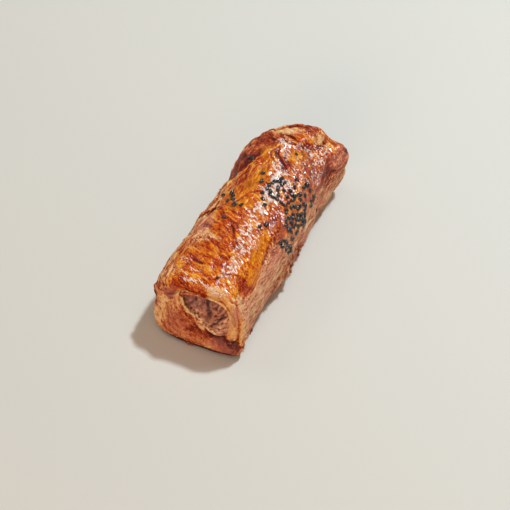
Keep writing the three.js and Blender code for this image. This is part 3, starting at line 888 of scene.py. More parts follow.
def wrapped_piece(name, points, normals, values):
    """A closed mesh from rows of points that go round, with values and normals kept at each point."""
    rows, columns = points.shape[:2]
    bm = bmesh.new()
    bmesh.ops.create_grid(bm, x_segments=columns, y_segments=rows - 1, size=1)
    mesh = bpy.data.meshes.new(name)
    bm.to_mesh(mesh)
    bm.free()

    def around_again(grid):
        return np.concatenate([grid, grid[:, :1]], 1).astype(np.float32).ravel()

    mesh.vertices.foreach_set("co", around_again(to_frame(points)))
    for key, grid in values.items():
        attribute = mesh.attributes.new(key, "FLOAT", "POINT")
        attribute.data.foreach_set("value", around_again(grid))
    kept = mesh.attributes.new("kept_normal", "FLOAT_VECTOR", "POINT")
    kept.data.foreach_set("vector", around_again(normals))
    bm = bmesh.new()
    bm.from_mesh(mesh)
    bmesh.ops.remove_doubles(bm, verts=bm.verts, dist=MERGE_WITHIN)
    bmesh.ops.dissolve_degenerate(bm, edges=bm.edges, dist=TOO_SHORT)
    slivers = [face for face in bm.faces if any(len(edge.link_faces) == 1 for edge in face.edges)]
    bmesh.ops.delete(bm, geom=slivers, context="FACES")
    bmesh.ops.recalc_face_normals(bm, faces=bm.faces)
    if bm.calc_volume(signed=True) < 0:
        bmesh.ops.reverse_faces(bm, faces=bm.faces)
    triangles = sum(len(face.verts) - 2 for face in bm.faces)
    print(name, "has", triangles, "triangles and", count_open_edges(bm), "open edges")
    bm.to_mesh(mesh)
    bm.free()
    mesh.polygons.foreach_set("use_smooth", np.ones(len(mesh.polygons), bool))
    vectors = np.zeros(len(mesh.vertices) * 3, np.float32)
    mesh.attributes["kept_normal"].data.foreach_get("vector", vectors)
    mesh.normals_split_custom_set_from_vertices(vectors.reshape(-1, 3))
    mesh.attributes.remove(mesh.attributes["kept_normal"])
    return new_object(name, mesh)


# %% [markdown]
# Each piece needs its inside too: the bore, and a flat ring of dough where it meets the next piece. The two
# joints lie a third and two thirds of the way along the side.

# %% The three pieces of the crust
SIDE_STARTS, LAST_ROW = list(zone_of_row).index("side"), len(zone_of_row) - 1
FIRST_JOINT, SECOND_JOINT = SIDE_STARTS + 116, SIDE_STARTS + 236
RING_SHARES, BLIND_SHARES = (0.3, 0.7), (0.35, 0.7, 1)
INSIDE_BAKED = 0.3


def inner_rows(y_from, y_to, count):
    return [bore(y) for y in np.linspace(y_from, y_to, count)]


def closing_ring(row):
    """The ring from an outer row in to the bore."""
    edge = surface[row]
    inner = bore(edge[:, 1].mean())
    inner[:, 1] = edge[:, 1]
    return [edge + (inner - edge) * t for t in RING_SHARES], inner


def piece_rows(first, last, extra):
    """Points, normals and painted values of a piece: its outer rows, then plain inner ones."""
    outer_rows = np.arange(first, last + 1)
    points = np.concatenate([surface[outer_rows], np.array(extra)])
    normals = grid_normals(points) * outwards
    normals[:len(outer_rows)] = surface_normal[outer_rows]
    values = {}
    for key, grid in paint.items():
        plain = np.full((len(extra), COLUMNS), INSIDE_BAKED if key == "baked" else 0.0)
        values[key] = np.concatenate([grid[outer_rows], plain])
    return points, normals, values


def blind_end(ring_row):
    middle = ring_row.mean(0)
    return [ring_row + (middle - ring_row) * t for t in BLIND_SHARES]


far_ring, far_bore = closing_ring(FIRST_JOINT)
middle_ring, middle_bore = closing_ring(SECOND_JOINT)
far_y, middle_y = far_bore[:, 1].mean(), middle_bore[:, 1].mean()
far_inside = far_ring + [far_bore] + inner_rows(far_y, BORE_END, 6)[1:]
far_extra = far_inside + blind_end(far_inside[-1])
middle_extra = middle_ring + [middle_bore] + inner_rows(middle_y, far_y, 6)[1:-1]
middle_extra += [far_bore] + far_ring[::-1] + [surface[FIRST_JOINT]]
near_extra = inner_rows(BORE_START, middle_y, 5)[1:-1] + [middle_bore] + middle_ring[::-1]
near_extra += [surface[SECOND_JOINT]]
crust_pieces = [
    wrapped_piece("crust_folded_end", *piece_rows(0, FIRST_JOINT, far_extra)),
    wrapped_piece("crust_middle", *piece_rows(FIRST_JOINT, SECOND_JOINT, middle_extra)),
    wrapped_piece("crust_open_end", *piece_rows(SECOND_JOINT, LAST_ROW, near_extra))]

# %% [markdown]
# ## The inner roll
# The filled roll inside is a lump of crumpled sheets. Its end shows in the mouth: rough, folded in curved
# ridges, nearest to the opening at the lower right. It is the same wrapped grid as the crust, drawn in from
# the bore by a small gap.

# %% The inner roll
CORE_COLUMN_STEP, CORE_FACE_ROWS, CORE_NECK_ROWS, CORE_SIDE_ROWS = 2, 96, 10, 12
CORE_MIDDLE, CORE_SWELL = np.array([6, -76.2, 23.5]), 0.9
SET_BACK, SET_BACK_FROM, SET_BACK_TO, SNUG = 0.15, 24, 32, 0.05


def shrunk(ring, gap):
    """A ring drawn in by the gap, square to its own outline."""
    tangent = np.roll(ring, -1, 0) - np.roll(ring, 1, 0)
    inwards = np.stack([-tangent[:, 2], 0 * tangent[:, 0], tangent[:, 0]], -1)
    inwards /= np.maximum(np.linalg.norm(inwards, axis=1, keepdims=True), 1e-9)
    if ((ring.mean(0) - ring) * inwards).sum() < 0:
        inwards = -inwards
    return (ring + inwards * gap)[::CORE_COLUMN_STEP]


def core_face(t):
    ring = CORE_MIDDLE + (core_edge - CORE_MIDDLE) * t
    ring[:, 1] -= CORE_SWELL * math.sin(math.pi * t)
    return ring


set_back = SET_BACK * step(mouth_ring[:, 2], SET_BACK_FROM, SET_BACK_TO)
core_edge = shrunk(mouth_ring + (bore(BORE_START) - mouth_ring) * set_back[:, None], SNUG)
core_neck = shrunk(bore(BORE_START), GAP) - core_edge
face_share = np.linspace(0, 1, CORE_FACE_ROWS)
core_rows = [core_face(t) for t in face_share]
core_rows += [core_edge + core_neck * t for t in np.linspace(0, 1, CORE_NECK_ROWS)[1:]]
core_rows += [shrunk(bore(y), GAP) for y in np.linspace(BORE_START, BORE_END - GAP, CORE_SIDE_ROWS)[1:]]
core_rows += blind_end(core_rows[-1])
core = np.array(core_rows)
core_share = np.r_[face_share, np.ones(len(core) - CORE_FACE_ROWS)][:, None]
on_core_face = np.arange(len(core))[:, None] < CORE_FACE_ROWS
print("inner roll grid:", core.shape[0], "rows of", core.shape[1])

# %% [markdown]
# Its end is crumpled by folds of three sizes. Small lumps and pits are placed between them, curls run round
# under the lip at the right, and a dark streak and a diagonal fold cut across. A pale fringe lines the lower
# edge.

# %% Crumples on its end
LUMPS = [  # strength, x, z, reach
    (1, -6.2, 32, 1.3), (1, -1.6, 33, 1.2), (1, -0.6, 30.6, 1.1), (1, -4, 29.6, 1.2), (0.9, 1.5, 27, 1.3),
    (0.9, -2.2, 26.6, 1.2), (0.9, 2.2, 22.6, 1.4), (1, 15.1, 22.3, 2.3), (0.8, 12.6, 16.8, 1.5),
    (0.8, 6, 19.6, 1.3)]
PITS = [
    (1, -5.2, 26.8, 0.6), (1, -2.4, 24.6, 0.6), (1, 0.6, 23.2, 0.7), (1, 3.4, 20, 0.6), (1, 5, 17.4, 0.7),
    (1, 8.8, 18.4, 0.6), (0.8, 10.6, 15.4, 0.6), (0.8, 0.4, 20.6, 0.5), (0.9, 13.6, 18.8, 0.6),
    (0.8, 7.4, 15.4, 0.5)]
STREAK = [(3.6, 35), (4.4, 31), (5.6, 27), (6, 22)]
DIAGONAL = [(7.5, 18.6), (10.5, 21.4), (13.4, 25), (16.4, 29.5)]
FOLDS = [(94, 6.0, 0.7), (91, 3.4, 0.7), (89, 1.8, 0.5)]  # seed, size, height
CURL_X, CURL_Z, CURL_SPACING = 8, 34, 2.4
cx, cz = core[..., 0], core[..., 2]
folded = core + 1.2 * noise(core, 5, 85)[..., None]
core_xz = np.stack([cx, cz], -1) + 0.5 * noise(core, 3, 84)[..., None]
from_lip = np.hypot(cx - CURL_X, cz - CURL_Z) + 1.4 * noise(core, 4, 81)
curls = np.cos(2 * np.pi * from_lip / CURL_SPACING) * step(cx + 0.3 * cz, 15, 18) * step(from_lip, 2, 4)


def core_spot(x, z, reach):
    """A soft round spot on the inner roll's end."""
    return hump(np.hypot(core_xz[..., 0] - x, core_xz[..., 1] - z) / reach)


lumps, cut_pits = sum_of(core_spot, LUMPS), sum_of(core_spot, PITS)
streak, diagonal = line(core_xz, STREAK, 1.5, 0.15), line(core_xz, DIAGONAL, 0.9, 0.15)
fringe = step(core_share + 0.08 * rough(core, 2, 2, 89), 0.72, 0.86) * step(cx + 0.4 * cz, 19, 15)
fringe *= step(cz, 33, 29)
crumple = 0.9 * noise(core, 7, 83) + 0.34 * curls + 0.8 * lumps - 0.9 * cut_pits
crumple -= 1.6 * streak + 1.0 * diagonal
for seed, size, height in FOLDS:
    crumple += height * (ridges(folded, (size, 9, size * 0.8), seed) - 0.4)
crumple *= on_core_face * (1 - 0.75 * core_share**8)
core[..., 1] -= crumple
print("crumples from %.2f to %.2f mm" % (crumple.min(), crumple.max()))

# %% Painting the inner roll, with painted light and shade
core_normal = grid_normals(core)
if core_normal[10, :, 1].mean() > 0:
    core_normal = -core_normal
# Painted shadow: the upper part, under the lip, is darker and more mauve.
shade = step(cz - 0.3 * cx, 25, 32)
# Painted light on lumps and curls, and painted shadow under the lip.
light = 0.44 + 0.34 * rough(core, 3, 3, 86) - 0.24 * shade + 0.15 * curls + 0.38 * lumps
light += 0.75 * fringe * (0.8 + 0.8 * noise(core, 1.6, 97)) - 0.35 * streak - 0.3 * diagonal
# Painted shade: a low crest value, which the finish turns dark, in pits, along the streak and the fold, and
# where the end lies below its surroundings.
crest = (crumple - blurred(crumple, 25)) * 0.5 + 0.62 - 0.7 * cut_pits - 0.3 * streak - 0.35 * diagonal
crest += 0.1 * curls - 0.12 * shade
mauve = 0.3 + 0.5 * rough(core, 6, 2, 87) + 0.5 * shade + 0.5 * streak - 0.5 * fringe
core_paint = {"light": light, "crest": crest, "mauve": mauve}
core_paint = {name: np.clip(values, 0, 1) for name, values in core_paint.items()}
inner_roll = wrapped_piece("inner_roll_filled", core, core_normal, core_paint)

# %% [markdown]
# ## Black seeds
# The seeds are small angular teardrops, about 3 mm long, pressed a little into the glaze. One seed is an
# icosphere pulled to a point; copies are turned and placed along the surface by a seeded draw, closest
# together right of the crest. A few lie apart and are listed one by one.

# %% One seed, and helpers that put shapes on the surface
SEED_WIDTH, SEED_HEIGHT, SEED_POINT = 0.74, 0.72, 0.36
LOWEST = 0.1
side_points, side_normals = surface[wound], surface_normal[wound]
side_places = np.stack([Y[wound], AROUND[wound]], -1)


def resting_place(y, around):
    """The point and the normal of the finished crust nearest to a place."""
    k = np.argmin(((side_places - (y, around)) ** 2).sum(-1))
    return Vector(side_points[k]), Vector(side_normals[k])


def loose_piece(name, bm, smooth):
    """A piece from shapes that lie on the roll or the table: taken to the frame, faces outward."""
    for vertex in bm.verts:
        vertex.co = Vector(to_frame(vertex.co))
        vertex.co.z = max(vertex.co.z, LOWEST * MM)
    bmesh.ops.recalc_face_normals(bm, faces=bm.faces)
    print(name, "has", len(bm.faces), "faces and", count_open_edges(bm), "open edges")
    mesh = bpy.data.meshes.new(name)
    bm.to_mesh(mesh)
    bm.free()
    mesh.polygons.foreach_set("use_smooth", np.full(len(mesh.polygons), smooth))
    return new_object(name, mesh)


def add_seed(bm, point, normal, length, turn, sink, tip):
    made = bmesh.ops.create_icosphere(bm, subdivisions=2, radius=1)["verts"]
    for vertex in made:
        x, y, z = vertex.co
        width = SEED_WIDTH * (1 - SEED_POINT * x * tip) * (1 + 0.12 * math.sin(5 * y + 3 * z))
        vertex.co = Vector((x, y * width, z * width * SEED_HEIGHT)) * (length / 2)
    upright = normal.to_track_quat("Z", "Y").to_matrix() @ Matrix.Rotation(turn, 3, "Z")
    place = Matrix.Translation(point + normal * (length * 0.2 - sink)) @ upright.to_4x4()
    bmesh.ops.transform(bm, matrix=place, verts=made)


# %% Where the seeds lie
CLUSTERS = [  # middle (along, around), spread, how many
    ((26, 20), (5, 4.5), 11), ((19, 26), (5, 4.5), 12), ((8, 26), (5, 4), 15), ((3, 28), (4, 3.5), 7),
    ((-8.5, 33), (4, 3.4), 5), ((15, 32), (4, 2.6), 6), ((22, 8.5), (6, 3.5), 12), ((10, 9), (5, 3.5), 5),
    ((33, 29), (4, 3.5), 3)]
LONE = [(-14.8, 12.1), (-10.7, 14.4), (-15.8, -9.9), (26, -21.5), (43.5, -16.6), (43.8, -18.6), (29.5, -4.8),
        (28, -23.5), (4, -19.8), (6, -14.5), (3.2, -13.2), (-1.5, -14), (-0.5, -11.5), (-4, -8.6),
        (-3.6, -4.4), (-5.5, -8.2), (38, 46), (30, 34.5), (36, 33), (35, 31.5), (54.5, 8), (-15, 30.5),
        (-14, 28), (22.5, -1.6), (20.5, -2), (-8, 39.3), (-6.5, 37.5), (-12, 34)]
LEAST_APART, LEFT_LIMIT, RIGHT_LIMIT = 2.4, 1, 41
draw = np.random.default_rng(47)
seed_places = list(LONE)
for middle, spread, count in CLUSTERS:
    wanted = len(seed_places) + count
    while len(seed_places) < wanted:
        y, around = draw.normal(middle, spread)
        nearest = min(math.hypot(y - a, around - b) for a, b in seed_places)
        near_middle = abs(y - middle[0]) < 2 * spread[0] and LEFT_LIMIT < around < RIGHT_LIMIT
        if nearest > LEAST_APART and near_middle:
            seed_places.append((y, around))
bm = bmesh.new()
for y, around in seed_places:
    point, normal = resting_place(y, around)
    tilted = (normal + Vector(draw.normal(0, 0.16, 3))).normalized()
    length, turn = draw.uniform(3.0, 3.8), draw.uniform(0, 2 * math.pi)
    add_seed(bm, point, tilted, length, turn, draw.uniform(0.1, 0.45), draw.uniform(0.3, 1))
seeds = loose_piece("black_seeds", bm, True)
print(len(seed_places), "seeds")

# %% [markdown]
# ## Loose flakes and crumbs
# Along the lower right the torn edge of a sheet hangs in ragged flakes, with burnt crumbs between them. A
# flake is a small grid with a torn outline, bent and given a thickness by `solidify`; a crumb is a lumpy
# icosphere.

# %% A flake and a crumb
FLAKE_CELLS, FLAKE_THICKNESS = (8, 4), 0.35


def add_flake(bm, point, normal, along, length, width, curl, seed):
    columns, rows = FLAKE_CELLS
    verts = bmesh.ops.create_grid(bm, x_segments=columns, y_segments=rows, size=0.5)["verts"]
    ragged = np.random.default_rng(seed).normal(0, 0.12, (columns + 1, 2))
    for vertex in verts:
        x, y, _ = vertex.co
        k = int(round((x + 0.5) * columns))
        y *= 1 + ragged[k, 0 if y > 0 else 1] * 2
        x += ragged[k, 0] * 0.15
        lift = curl * (y + 0.5) ** 2 + 0.12 * math.sin(7 * x + seed)
        vertex.co = Vector((x * length, y * width * (1 - 1.2 * x * x), lift * width))
    side = normal.cross(along).normalized()
    place = Matrix((along.normalized(), side, normal)).transposed().to_4x4()
    bmesh.ops.transform(bm, matrix=Matrix.Translation(point) @ place, verts=verts)
    faces = list({face for vertex in verts for face in vertex.link_faces})
    bmesh.ops.solidify(bm, geom=faces, thickness=FLAKE_THICKNESS)


def add_crumb(bm, point, size, seed):
    made = bmesh.ops.create_icosphere(bm, subdivisions=2, radius=size / 2)["verts"]
    lumpy = np.random.default_rng(seed)
    for vertex in made:
        vertex.co *= lumpy.uniform(0.65, 1.25)
    bmesh.ops.transform(bm, matrix=Matrix.Translation(point), verts=made)


# %% Where the flakes and the crumbs lie
FLAKES = [  # place (along, around), length, width
    (-22, 49, 5, 3), (-16, 52, 6, 3), (-12, 47, 5, 3.5), (-8, 51, 6, 3.5), (-3, 48, 6, 4), (1, 52, 5, 3),
    (5, 49, 5, 3), (-30, 53, 5, 2.5), (-66, 54, 4, 2.5)]
FALLEN = [((-5.2, -81.3, 1.3), 2.6), ((-3.2, -81.2, 0.9), 1.8), ((-6.8, -81, 0.8), 1.5)]
CRUMBS, CRUMBS_Y, CRUMBS_SPREAD = 40, -8, 11
bm = bmesh.new()
for k, (y, around, length, width) in enumerate(FLAKES):
    point, normal = resting_place(y, around)
    along = Vector((0.12 * math.sin(k * 2.1), 1, 0.3 * math.sin(k * 1.3)))
    along -= normal * along.dot(normal)
    lean = (normal + Vector((0, 0, 0.35 * math.cos(k * 1.7)))).normalized()
    curl = 0.35 + 0.15 * math.sin(k)
    add_flake(bm, point + normal * 0.1, lean, along, length, width, curl, 100 + k)
for k in range(CRUMBS):
    y = draw.normal(CRUMBS_Y, CRUMBS_SPREAD)
    point, normal = resting_place(y, draw.uniform(44, 56))
    add_crumb(bm, point + normal * draw.uniform(0, 0.7), draw.uniform(0.7, 1.9), 200 + k)
for k, (place, size) in enumerate(FALLEN):
    add_crumb(bm, Vector(place), size, 300 + k)
flakes = loose_piece("torn_flakes", bm, False)


# %% [markdown]
# ## Writing finishes
# A finish is a network of nodes. To keep it readable, a socket is wrapped so that sums on it add Math nodes,
# and one method adds any other node from its type, its settings and what goes into its sockets.

# %% Values that can be added and multiplied
class Value:
    """A number in a finish: + - * and abs on it add Math nodes."""

    def __init__(self, finish, socket):
        self.finish, self.socket = finish, socket

    def math(self, operation, *given):
        return self.finish.node("ShaderNodeMath", {"operation": operation}, dict(enumerate(given)))

    def __add__(self, other):
        return self.math("ADD", self, other)

    def __radd__(self, other):
        return self.math("ADD", other, self)

    def __sub__(self, other):
        return self.math("SUBTRACT", self, other)

    def __rsub__(self, other):
        return self.math("SUBTRACT", other, self)

    def __mul__(self, other):
        return self.math("MULTIPLY", self, other)

    def __rmul__(self, other):
        return self.math("MULTIPLY", other, self)

    def __abs__(self):
        return self.math("ABSOLUTE", self)

    def step(self, low, high):
        """0 below low and 1 above high, with a soft climb between."""
        return self.finish.node("ShaderNodeMapRange", {"interpolation_type": "SMOOTHSTEP"},
                                {"Value": self, "From Min": low, "From Max": high})


# %% A finish, with short ways to add what it needs
def colour(red, green, blue):
    """A colour given as a screen shows it, 0 to 255, as the linear numbers a shader takes."""
    def linear(v):
        v /= 255
        return v / 12.92 if v <= 0.04045 else ((v + 0.055) / 1.055) ** 2.4
    return (linear(red), linear(green), linear(blue), 1.0)


def set_stops(ramp, stops):
    """Fills a colour ramp: each stop is a position and a red, green and blue from 0 to 255."""
    while len(ramp.elements) < len(stops):
        ramp.elements.new(0.5)
    for element, (position, *shown) in zip(ramp.elements, stops):
        element.position, element.color = position, colour(*shown)


class Finish:
    """A material whose nodes are added one call at a time."""

    def __init__(self, name):
        self.material = bpy.data.materials.new(name)
        self.material.use_nodes = True
        self.tree = self.material.node_tree
        self.surface = self.tree.nodes["Principled BSDF"]

    def node(self, kind, settings=(), inputs=(), output=0):
        made = self.tree.nodes.new(kind)
        for key, setting in dict(settings).items():
            if key == "stops":
                set_stops(made.color_ramp, setting)
            else:
                setattr(made, key, setting)
        for key, given in dict(inputs).items():
            self.connect(made.inputs[key], given)
        return Value(self, made.outputs[output])

    def connect(self, socket, given):
        if isinstance(given, Value):
            self.tree.links.new(given.socket, socket)
        else:
            socket.default_value = given

    def set(self, **inputs):
        for key, given in inputs.items():
            self.connect(self.surface.inputs[key.replace("_", " ")], given)

    def painted(self, name):
        return self.node("ShaderNodeAttribute", {"attribute_name": name}, output="Fac")

    def place(self):
        return self.node("ShaderNodeTexCoord", output="Object")

    def stretched(self, place, stretch, turn):
        """Places for a pattern that is drawn out along the roll, or at an angle to it in degrees."""
        return self.node("ShaderNodeMapping", {"vector_type": "TEXTURE"}, {
            "Vector": place, "Rotation": (0, 0, math.radians(turn)), "Scale": (1, stretch, 1)})

    def grain(self, size, detail=3.0, stretch=1.0, turn=0.0):
        """Noise with lumps of a size in millimetres."""
        return self.node("ShaderNodeTexNoise", {}, {
            "Vector": self.stretched(self.place(), stretch, turn), "Scale": 1 / (size * MM),
            "Detail": detail, "Roughness": 0.55}, "Fac")

    def cells(self, size, stretch=1.0, turn=0.0):
        """Angular cells, each of its own grey from 0 to 1, with edges that wander a little."""
        wobble = self.node("ShaderNodeTexNoise", {}, {
            "Vector": self.place(), "Scale": 1 / (size * 0.7 * MM), "Detail": 2.0}, "Color")
        moved = self.node("ShaderNodeVectorMath", {"operation": "MULTIPLY_ADD"}, {
            0: wobble, 1: (size * 0.9 * MM,) * 3, 2: self.place()})
        tone = self.node("ShaderNodeTexVoronoi", {}, {
            "Vector": self.stretched(moved, stretch, turn), "Scale": 1 / (size * MM)}, "Color")
        return self.node("ShaderNodeSeparateXYZ", {}, {0: tone}, 0)

    def ramp(self, value, stops):
        return self.node("ShaderNodeValToRGB", {"stops": stops}, {"Fac": value}, "Color")

    def blend(self, share, first, second):
        return self.node("ShaderNodeMix", {"data_type": "RGBA"}, {"Factor": share, 6: first, 7: second}, 2)

    def bump(self, height, distance, strength=1.0):
        """Bumps up to a height in millimetres."""
        return self.node("ShaderNodeBump", {}, {
            "Height": height, "Distance": distance * MM, "Strength": strength})


# %% [markdown]
# ## The crust's finish
# Three patterns break up the painted values. Streaks and angular facets, drawn out along the pull of the
# sheet, stand for its tiny wrinkles and flakes. Hairlines are thin dark and pale lines where a slow noise
# passes its middle value.

# %% Patterns of the crust
crust = Finish("baked_crust")
ACROSS_TURN, ALONG_TURN = 59, 4
across_share = crust.painted("across")


def grain_of_the_pull(size, detail, stretch):
    """Streaks that run across the top and lengthwise on both sides."""
    streaks_across = crust.grain(size, detail, stretch, ACROSS_TURN) * across_share
    return streaks_across + crust.grain(size, detail, stretch, ALONG_TURN) * (1 - across_share)


def hairlines(size, width):
    level = grain_of_the_pull(size, 1, 7) - 0.5
    return 1 - abs(level).step(width * 0.3, width)


fine = grain_of_the_pull(1.0, 2, 6)
mottle = crust.grain(3.5, 3, 4)
facets = crust.cells(1.8, 3, ACROSS_TURN) * across_share
facets = facets + crust.cells(1.8, 3.5, ALONG_TURN) * (1 - across_share)
dark_lines, pale_lines = hairlines(1.7, 0.03), hairlines(1.3, 0.025)
print("the crust's patterns take", len(crust.tree.nodes), "nodes")

# %% [markdown]
# Bare dough goes from cream through tan to brown as it bakes. Where egg was brushed on, the same baking gives
# yellow, orange, rust and dark red-brown, and a gloss. Yolk, the rosy tinge with its painted reflection, char
# and the painted highlights, near-white flecks where the glaze glints, are laid over that.

# %% Colours of the crust
BARE_COLOURS = [(0.0, 248, 212, 156), (0.22, 234, 172, 114), (0.42, 214, 128, 82), (0.62, 182, 84, 50),
                (0.8, 146, 56, 36), (1.0, 88, 36, 26)]
WASHED_COLOURS = [(0.0, 244, 178, 66), (0.22, 232, 136, 34), (0.42, 214, 98, 12), (0.62, 186, 60, 8),
                  (0.8, 150, 34, 8), (1.0, 104, 24, 14)]
YOLK_COLOURS = [(0.25, 248, 180, 52), (0.45, 234, 140, 16), (0.6, 216, 106, 10), (0.75, 176, 66, 12)]
ROSY_AND_SHEEN_COLOUR, CHAR_COLOUR, GLINT_COLOUR = colour(214, 140, 124), colour(80, 42, 54), colour(255, 238, 228)
varied = crust.painted("contrast")
bake = crust.painted("baked") + (mottle - 0.5) * 0.3 + (fine - 0.5) * (varied + 1.2)
bake = bake + ((facets - 0.5) * 0.2 + dark_lines * 0.3 - pale_lines * 0.28) * (varied + 1)
wash = crust.painted("washed")
crust_colour = crust.blend(wash, crust.ramp(bake, BARE_COLOURS), crust.ramp(bake, WASHED_COLOURS))
yolk_share = crust.painted("yolk") * (1.7 - fine * 1.5)
crust_colour = crust.blend(yolk_share, crust_colour, crust.ramp(fine + (facets - 0.5) * 0.3, YOLK_COLOURS))
# Rosy tinge: partly the crust's own tone, partly a painted reflection of cool light.
crust_colour = crust.blend(crust.painted("rosy") * (fine * 0.9 + 0.15), crust_colour, ROSY_AND_SHEEN_COLOUR)
char_share = (crust.painted("char") + (fine - 0.5) * 0.8).step(0.25, 0.75)
crust_colour = crust.blend(char_share, crust_colour, CHAR_COLOUR)
# Painted highlight: near-white flecks where the glaze glints, broken into lace and clumps by noise.
lace = crust.grain(0.8, 2, 4, ACROSS_TURN)
clumps = crust.grain(2.5, 2) + facets * 0.25 - 0.62
painted_glint = crust.painted("bloom")
glint_share = ((lace - 0.5) * 9 + clumps * 4 + painted_glint * 3 - 2.3).step(0, 0.8)
glint_share = glint_share * painted_glint.step(0.1, 0.4) * 0.9
crust_colour = crust.blend(glint_share, crust_colour, GLINT_COLOUR)

# %% [markdown]
# The gloss has two parts: the crust's own shine, broken by fine bumps, and a smooth wet coat above it.

# %% Gloss and fine bumps of the crust
wet = wash * (0.75 + 0.5 * crust.painted("hollow"))
bumps = fine * 1.2 + crust.grain(0.9, 3) * 0.6 - dark_lines * 0.25 + facets * 0.2
crust.set(Base_Color=crust_colour, Roughness=0.55 - wet * 0.2 + (fine - 0.5) * 0.2,
          Normal=crust.bump(bumps, 0.75), Coat_Weight=crust.painted("gloss"))
crust.set(Coat_Roughness=0.18, Coat_IOR=1.5, IOR=1.45, Specular_IOR_Level=0.10)
crust.set(Subsurface_Weight=0.06, Subsurface_Radius=(1.0, 0.45, 0.2), Subsurface_Scale=2.0 * MM)
print("the whole finish of the crust has", len(crust.tree.nodes), "nodes")

# %% [markdown]
# ## The inner roll's finish
# The sheets inside have steamed rather than browned: dull tan with mauve in places, and no gloss. Painted
# shade turns the pits and hollows dark grey-brown and deepens the mauve under the lip, and painted light
# makes the crests paler.

# %% The inner roll's finish
filled = Finish("steamed_sheets")
filled_grain = filled.grain(1.3, 4)
tan = filled.ramp(filled.painted("light") + (filled_grain - 0.5) * 0.6, [
    (0.0, 150, 90, 74), (0.35, 186, 122, 96), (0.7, 226, 166, 126), (1.0, 255, 218, 172)])
filled_colour = filled.blend(filled.painted("mauve") * 0.6, tan, colour(164, 106, 102))
# Painted shade: the pits and hollows of the crumpled end turn dark.
pit_shade_share = (1 - filled.painted("crest")).step(0.25, 0.85) * 0.88
filled_colour = filled.blend(pit_shade_share, filled_colour, colour(72, 40, 44))
filled.set(Base_Color=filled_colour, Roughness=0.62 - (filled_grain - 0.5) * 0.2,
           Normal=filled.bump(filled.grain(0.9, 3), 0.3, 0.8))
print("the inner roll's finish has", len(filled.tree.nodes), "nodes")

# %% [markdown]
# ## The seeds' finish and the flakes' finish
# The seeds are near black with a slight blue sheen and fine pits. The flakes are bare dough, mottled with
# brown, and darker close to the table.

# %% Seeds and flakes
DARKER_BELOW = 5 * MM
seed_finish = Finish("seed_black")
pits = seed_finish.grain(0.5, 2)
seed_finish.set(Base_Color=seed_finish.ramp(pits, [(0.3, 10, 10, 14), (0.75, 46, 50, 58)]),
                Roughness=0.2 + (pits - 0.5) * 0.2, Normal=seed_finish.bump(pits, 0.12, 0.7),
                Specular_IOR_Level=0.9)
flake_finish = Finish("torn_dough")
flake_height = flake_finish.node("ShaderNodeSeparateXYZ", {}, {0: flake_finish.place()}, 2)
# The flakes are made darker close to the table.
flake_grain = flake_finish.grain(3.0, 3) * (flake_height.step(0, DARKER_BELOW) * 0.4 + 0.6)
flake_colour = flake_finish.ramp(flake_grain, [
    (0.3, 58, 30, 26), (0.42, 142, 66, 40), (0.55, 186, 112, 70), (0.7, 214, 156, 106)])
flake_finish.set(Base_Color=flake_colour, Roughness=0.55 + (flake_grain - 0.5) * 0.2,
                 Normal=flake_finish.bump(flake_finish.grain(0.8, 2), 0.2, 0.6))
print("finishes:", [finish.material.name for finish in (crust, filled, seed_finish, flake_finish)])

# %% Finishes, bodies and slots
for piece in crust_pieces:
    piece.data.materials.append(crust.material)
    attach(piece, "root")
    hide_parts("pastry_wrap")
for piece, finish, slot in [(inner_roll, filled, "filled_roll"), (seeds, seed_finish, "dark_seeds"),
                            (flakes, flake_finish, "crust")]:
    piece.data.materials.append(finish.material)
    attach(piece, "root")
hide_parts("inner_roll")

# %% [markdown]
# ## Stage, light and camera
# The roll lies on a plain pale floor. A softbox high behind it, with a wide strip beside it, draws the broken
# white glints on the glaze and throws the shadow forwards. A large warm fill opens up the near end, three
# weaker lamps light the top and both sides, and the world lifts the rest. The camera looks down at the open
# end from the front right, with a long lens.

# %% The floor
FLOOR_SIZE = 3
bm = bmesh.new()
bmesh.ops.create_grid(bm, x_segments=1, y_segments=1, size=FLOOR_SIZE)
floor_mesh = bpy.data.meshes.new("floor")
bm.to_mesh(floor_mesh)
bm.free()
floor = new_object("floor", floor_mesh)
floor_finish = Finish("pale_floor")
floor_finish.set(Base_Color=colour(212, 213, 207), Roughness=0.6)
floor.data.materials.append(floor_finish.material)
print("the floor reaches", FLOOR_SIZE, "metres each way")

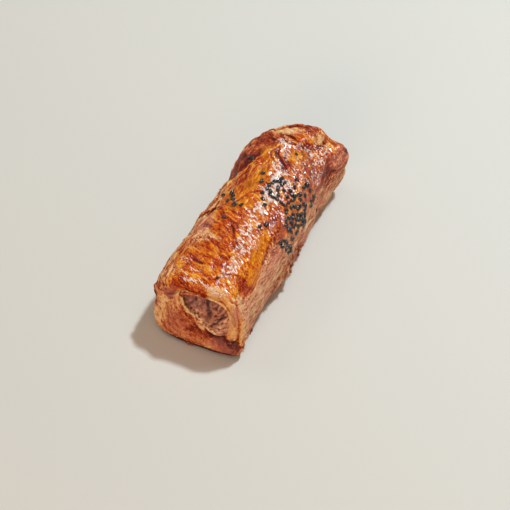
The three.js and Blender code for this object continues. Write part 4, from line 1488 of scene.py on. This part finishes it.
# %% Lights
TARGET = Vector(to_frame((7.2, -10.6, 15)))
LIGHTS = [  # name, direction from the roll, distance, width and height, power, tint
    ("key", (0.2, 0.52, 0.83), 1.8, (0.15, 0.13), 23.0, (0.84, 0.95, 1.0)),
    ("strip", (0.22, 0.5, 0.84), 1.8, (0.6, 0.16), 3.5, (0.9, 0.97, 1.0)),
    ("front_fill", (0.1, -0.94, 0.29), 1.6, (1.0, 0.6), 12.0, (1.0, 0.68, 0.47)),
    ("overhead", (0.1, -0.1, 0.98), 1.5, (0.6, 0.5), 1.2, (1.0, 0.98, 0.96)),
    ("right_fill", (0.95, -0.2, 0.36), 1.6, (0.8, 0.6), 0.9, (1.0, 0.88, 0.86)),
    ("left_fill", (-0.8, 0.2, 0.75), 1.9, (0.8, 0.6), 3.8, (1.0, 0.9, 0.82))]


def aimed(name, data, away):
    """A lamp or a camera at an offset from the target, turned towards it."""
    thing = bpy.data.objects.new(name, data)
    thing.location = TARGET + away
    thing.rotation_euler = (-away).to_track_quat("-Z", "Y").to_euler()
    bpy.context.scene.collection.objects.link(thing)
    return thing


for name, direction, distance, size, power, tint in LIGHTS:
    light = bpy.data.lights.new(name, "AREA")
    light.shape, light.size, light.size_y = "RECTANGLE", size[0], size[1]
    light.energy, light.color = power, tint
    aimed(name, light, Vector(direction).normalized() * distance)
world = bpy.data.worlds.new("studio")
world.use_nodes = True
background = world.node_tree.nodes["Background"]
background.inputs["Color"].default_value = (1, 0.72, 0.54, 1)
background.inputs["Strength"].default_value = 0.22
bpy.context.scene.world = world
bpy.context.scene.view_settings.view_transform = "Standard"
print(len(LIGHTS), "lamps, %.1f watts together" % sum(row[4] for row in LIGHTS))

# %% The camera
AZIMUTH, ELEVATION, DISTANCE = math.radians(23.2), math.radians(45.14), 1.0713
FOCAL_LENGTH, SENSOR = 123.1, 36
lens = bpy.data.cameras.new("camera")
lens.lens, lens.sensor_width = FOCAL_LENGTH, SENSOR
lens.dof.use_dof = False
sideways, backwards = math.sin(AZIMUTH) * math.cos(ELEVATION), math.cos(AZIMUTH) * math.cos(ELEVATION)
camera = aimed("camera", lens, DISTANCE * Vector((sideways, -backwards, math.sin(ELEVATION))))
bpy.context.scene.camera = camera
print("camera at", [round(value, 3) for value in camera.location], "metres")
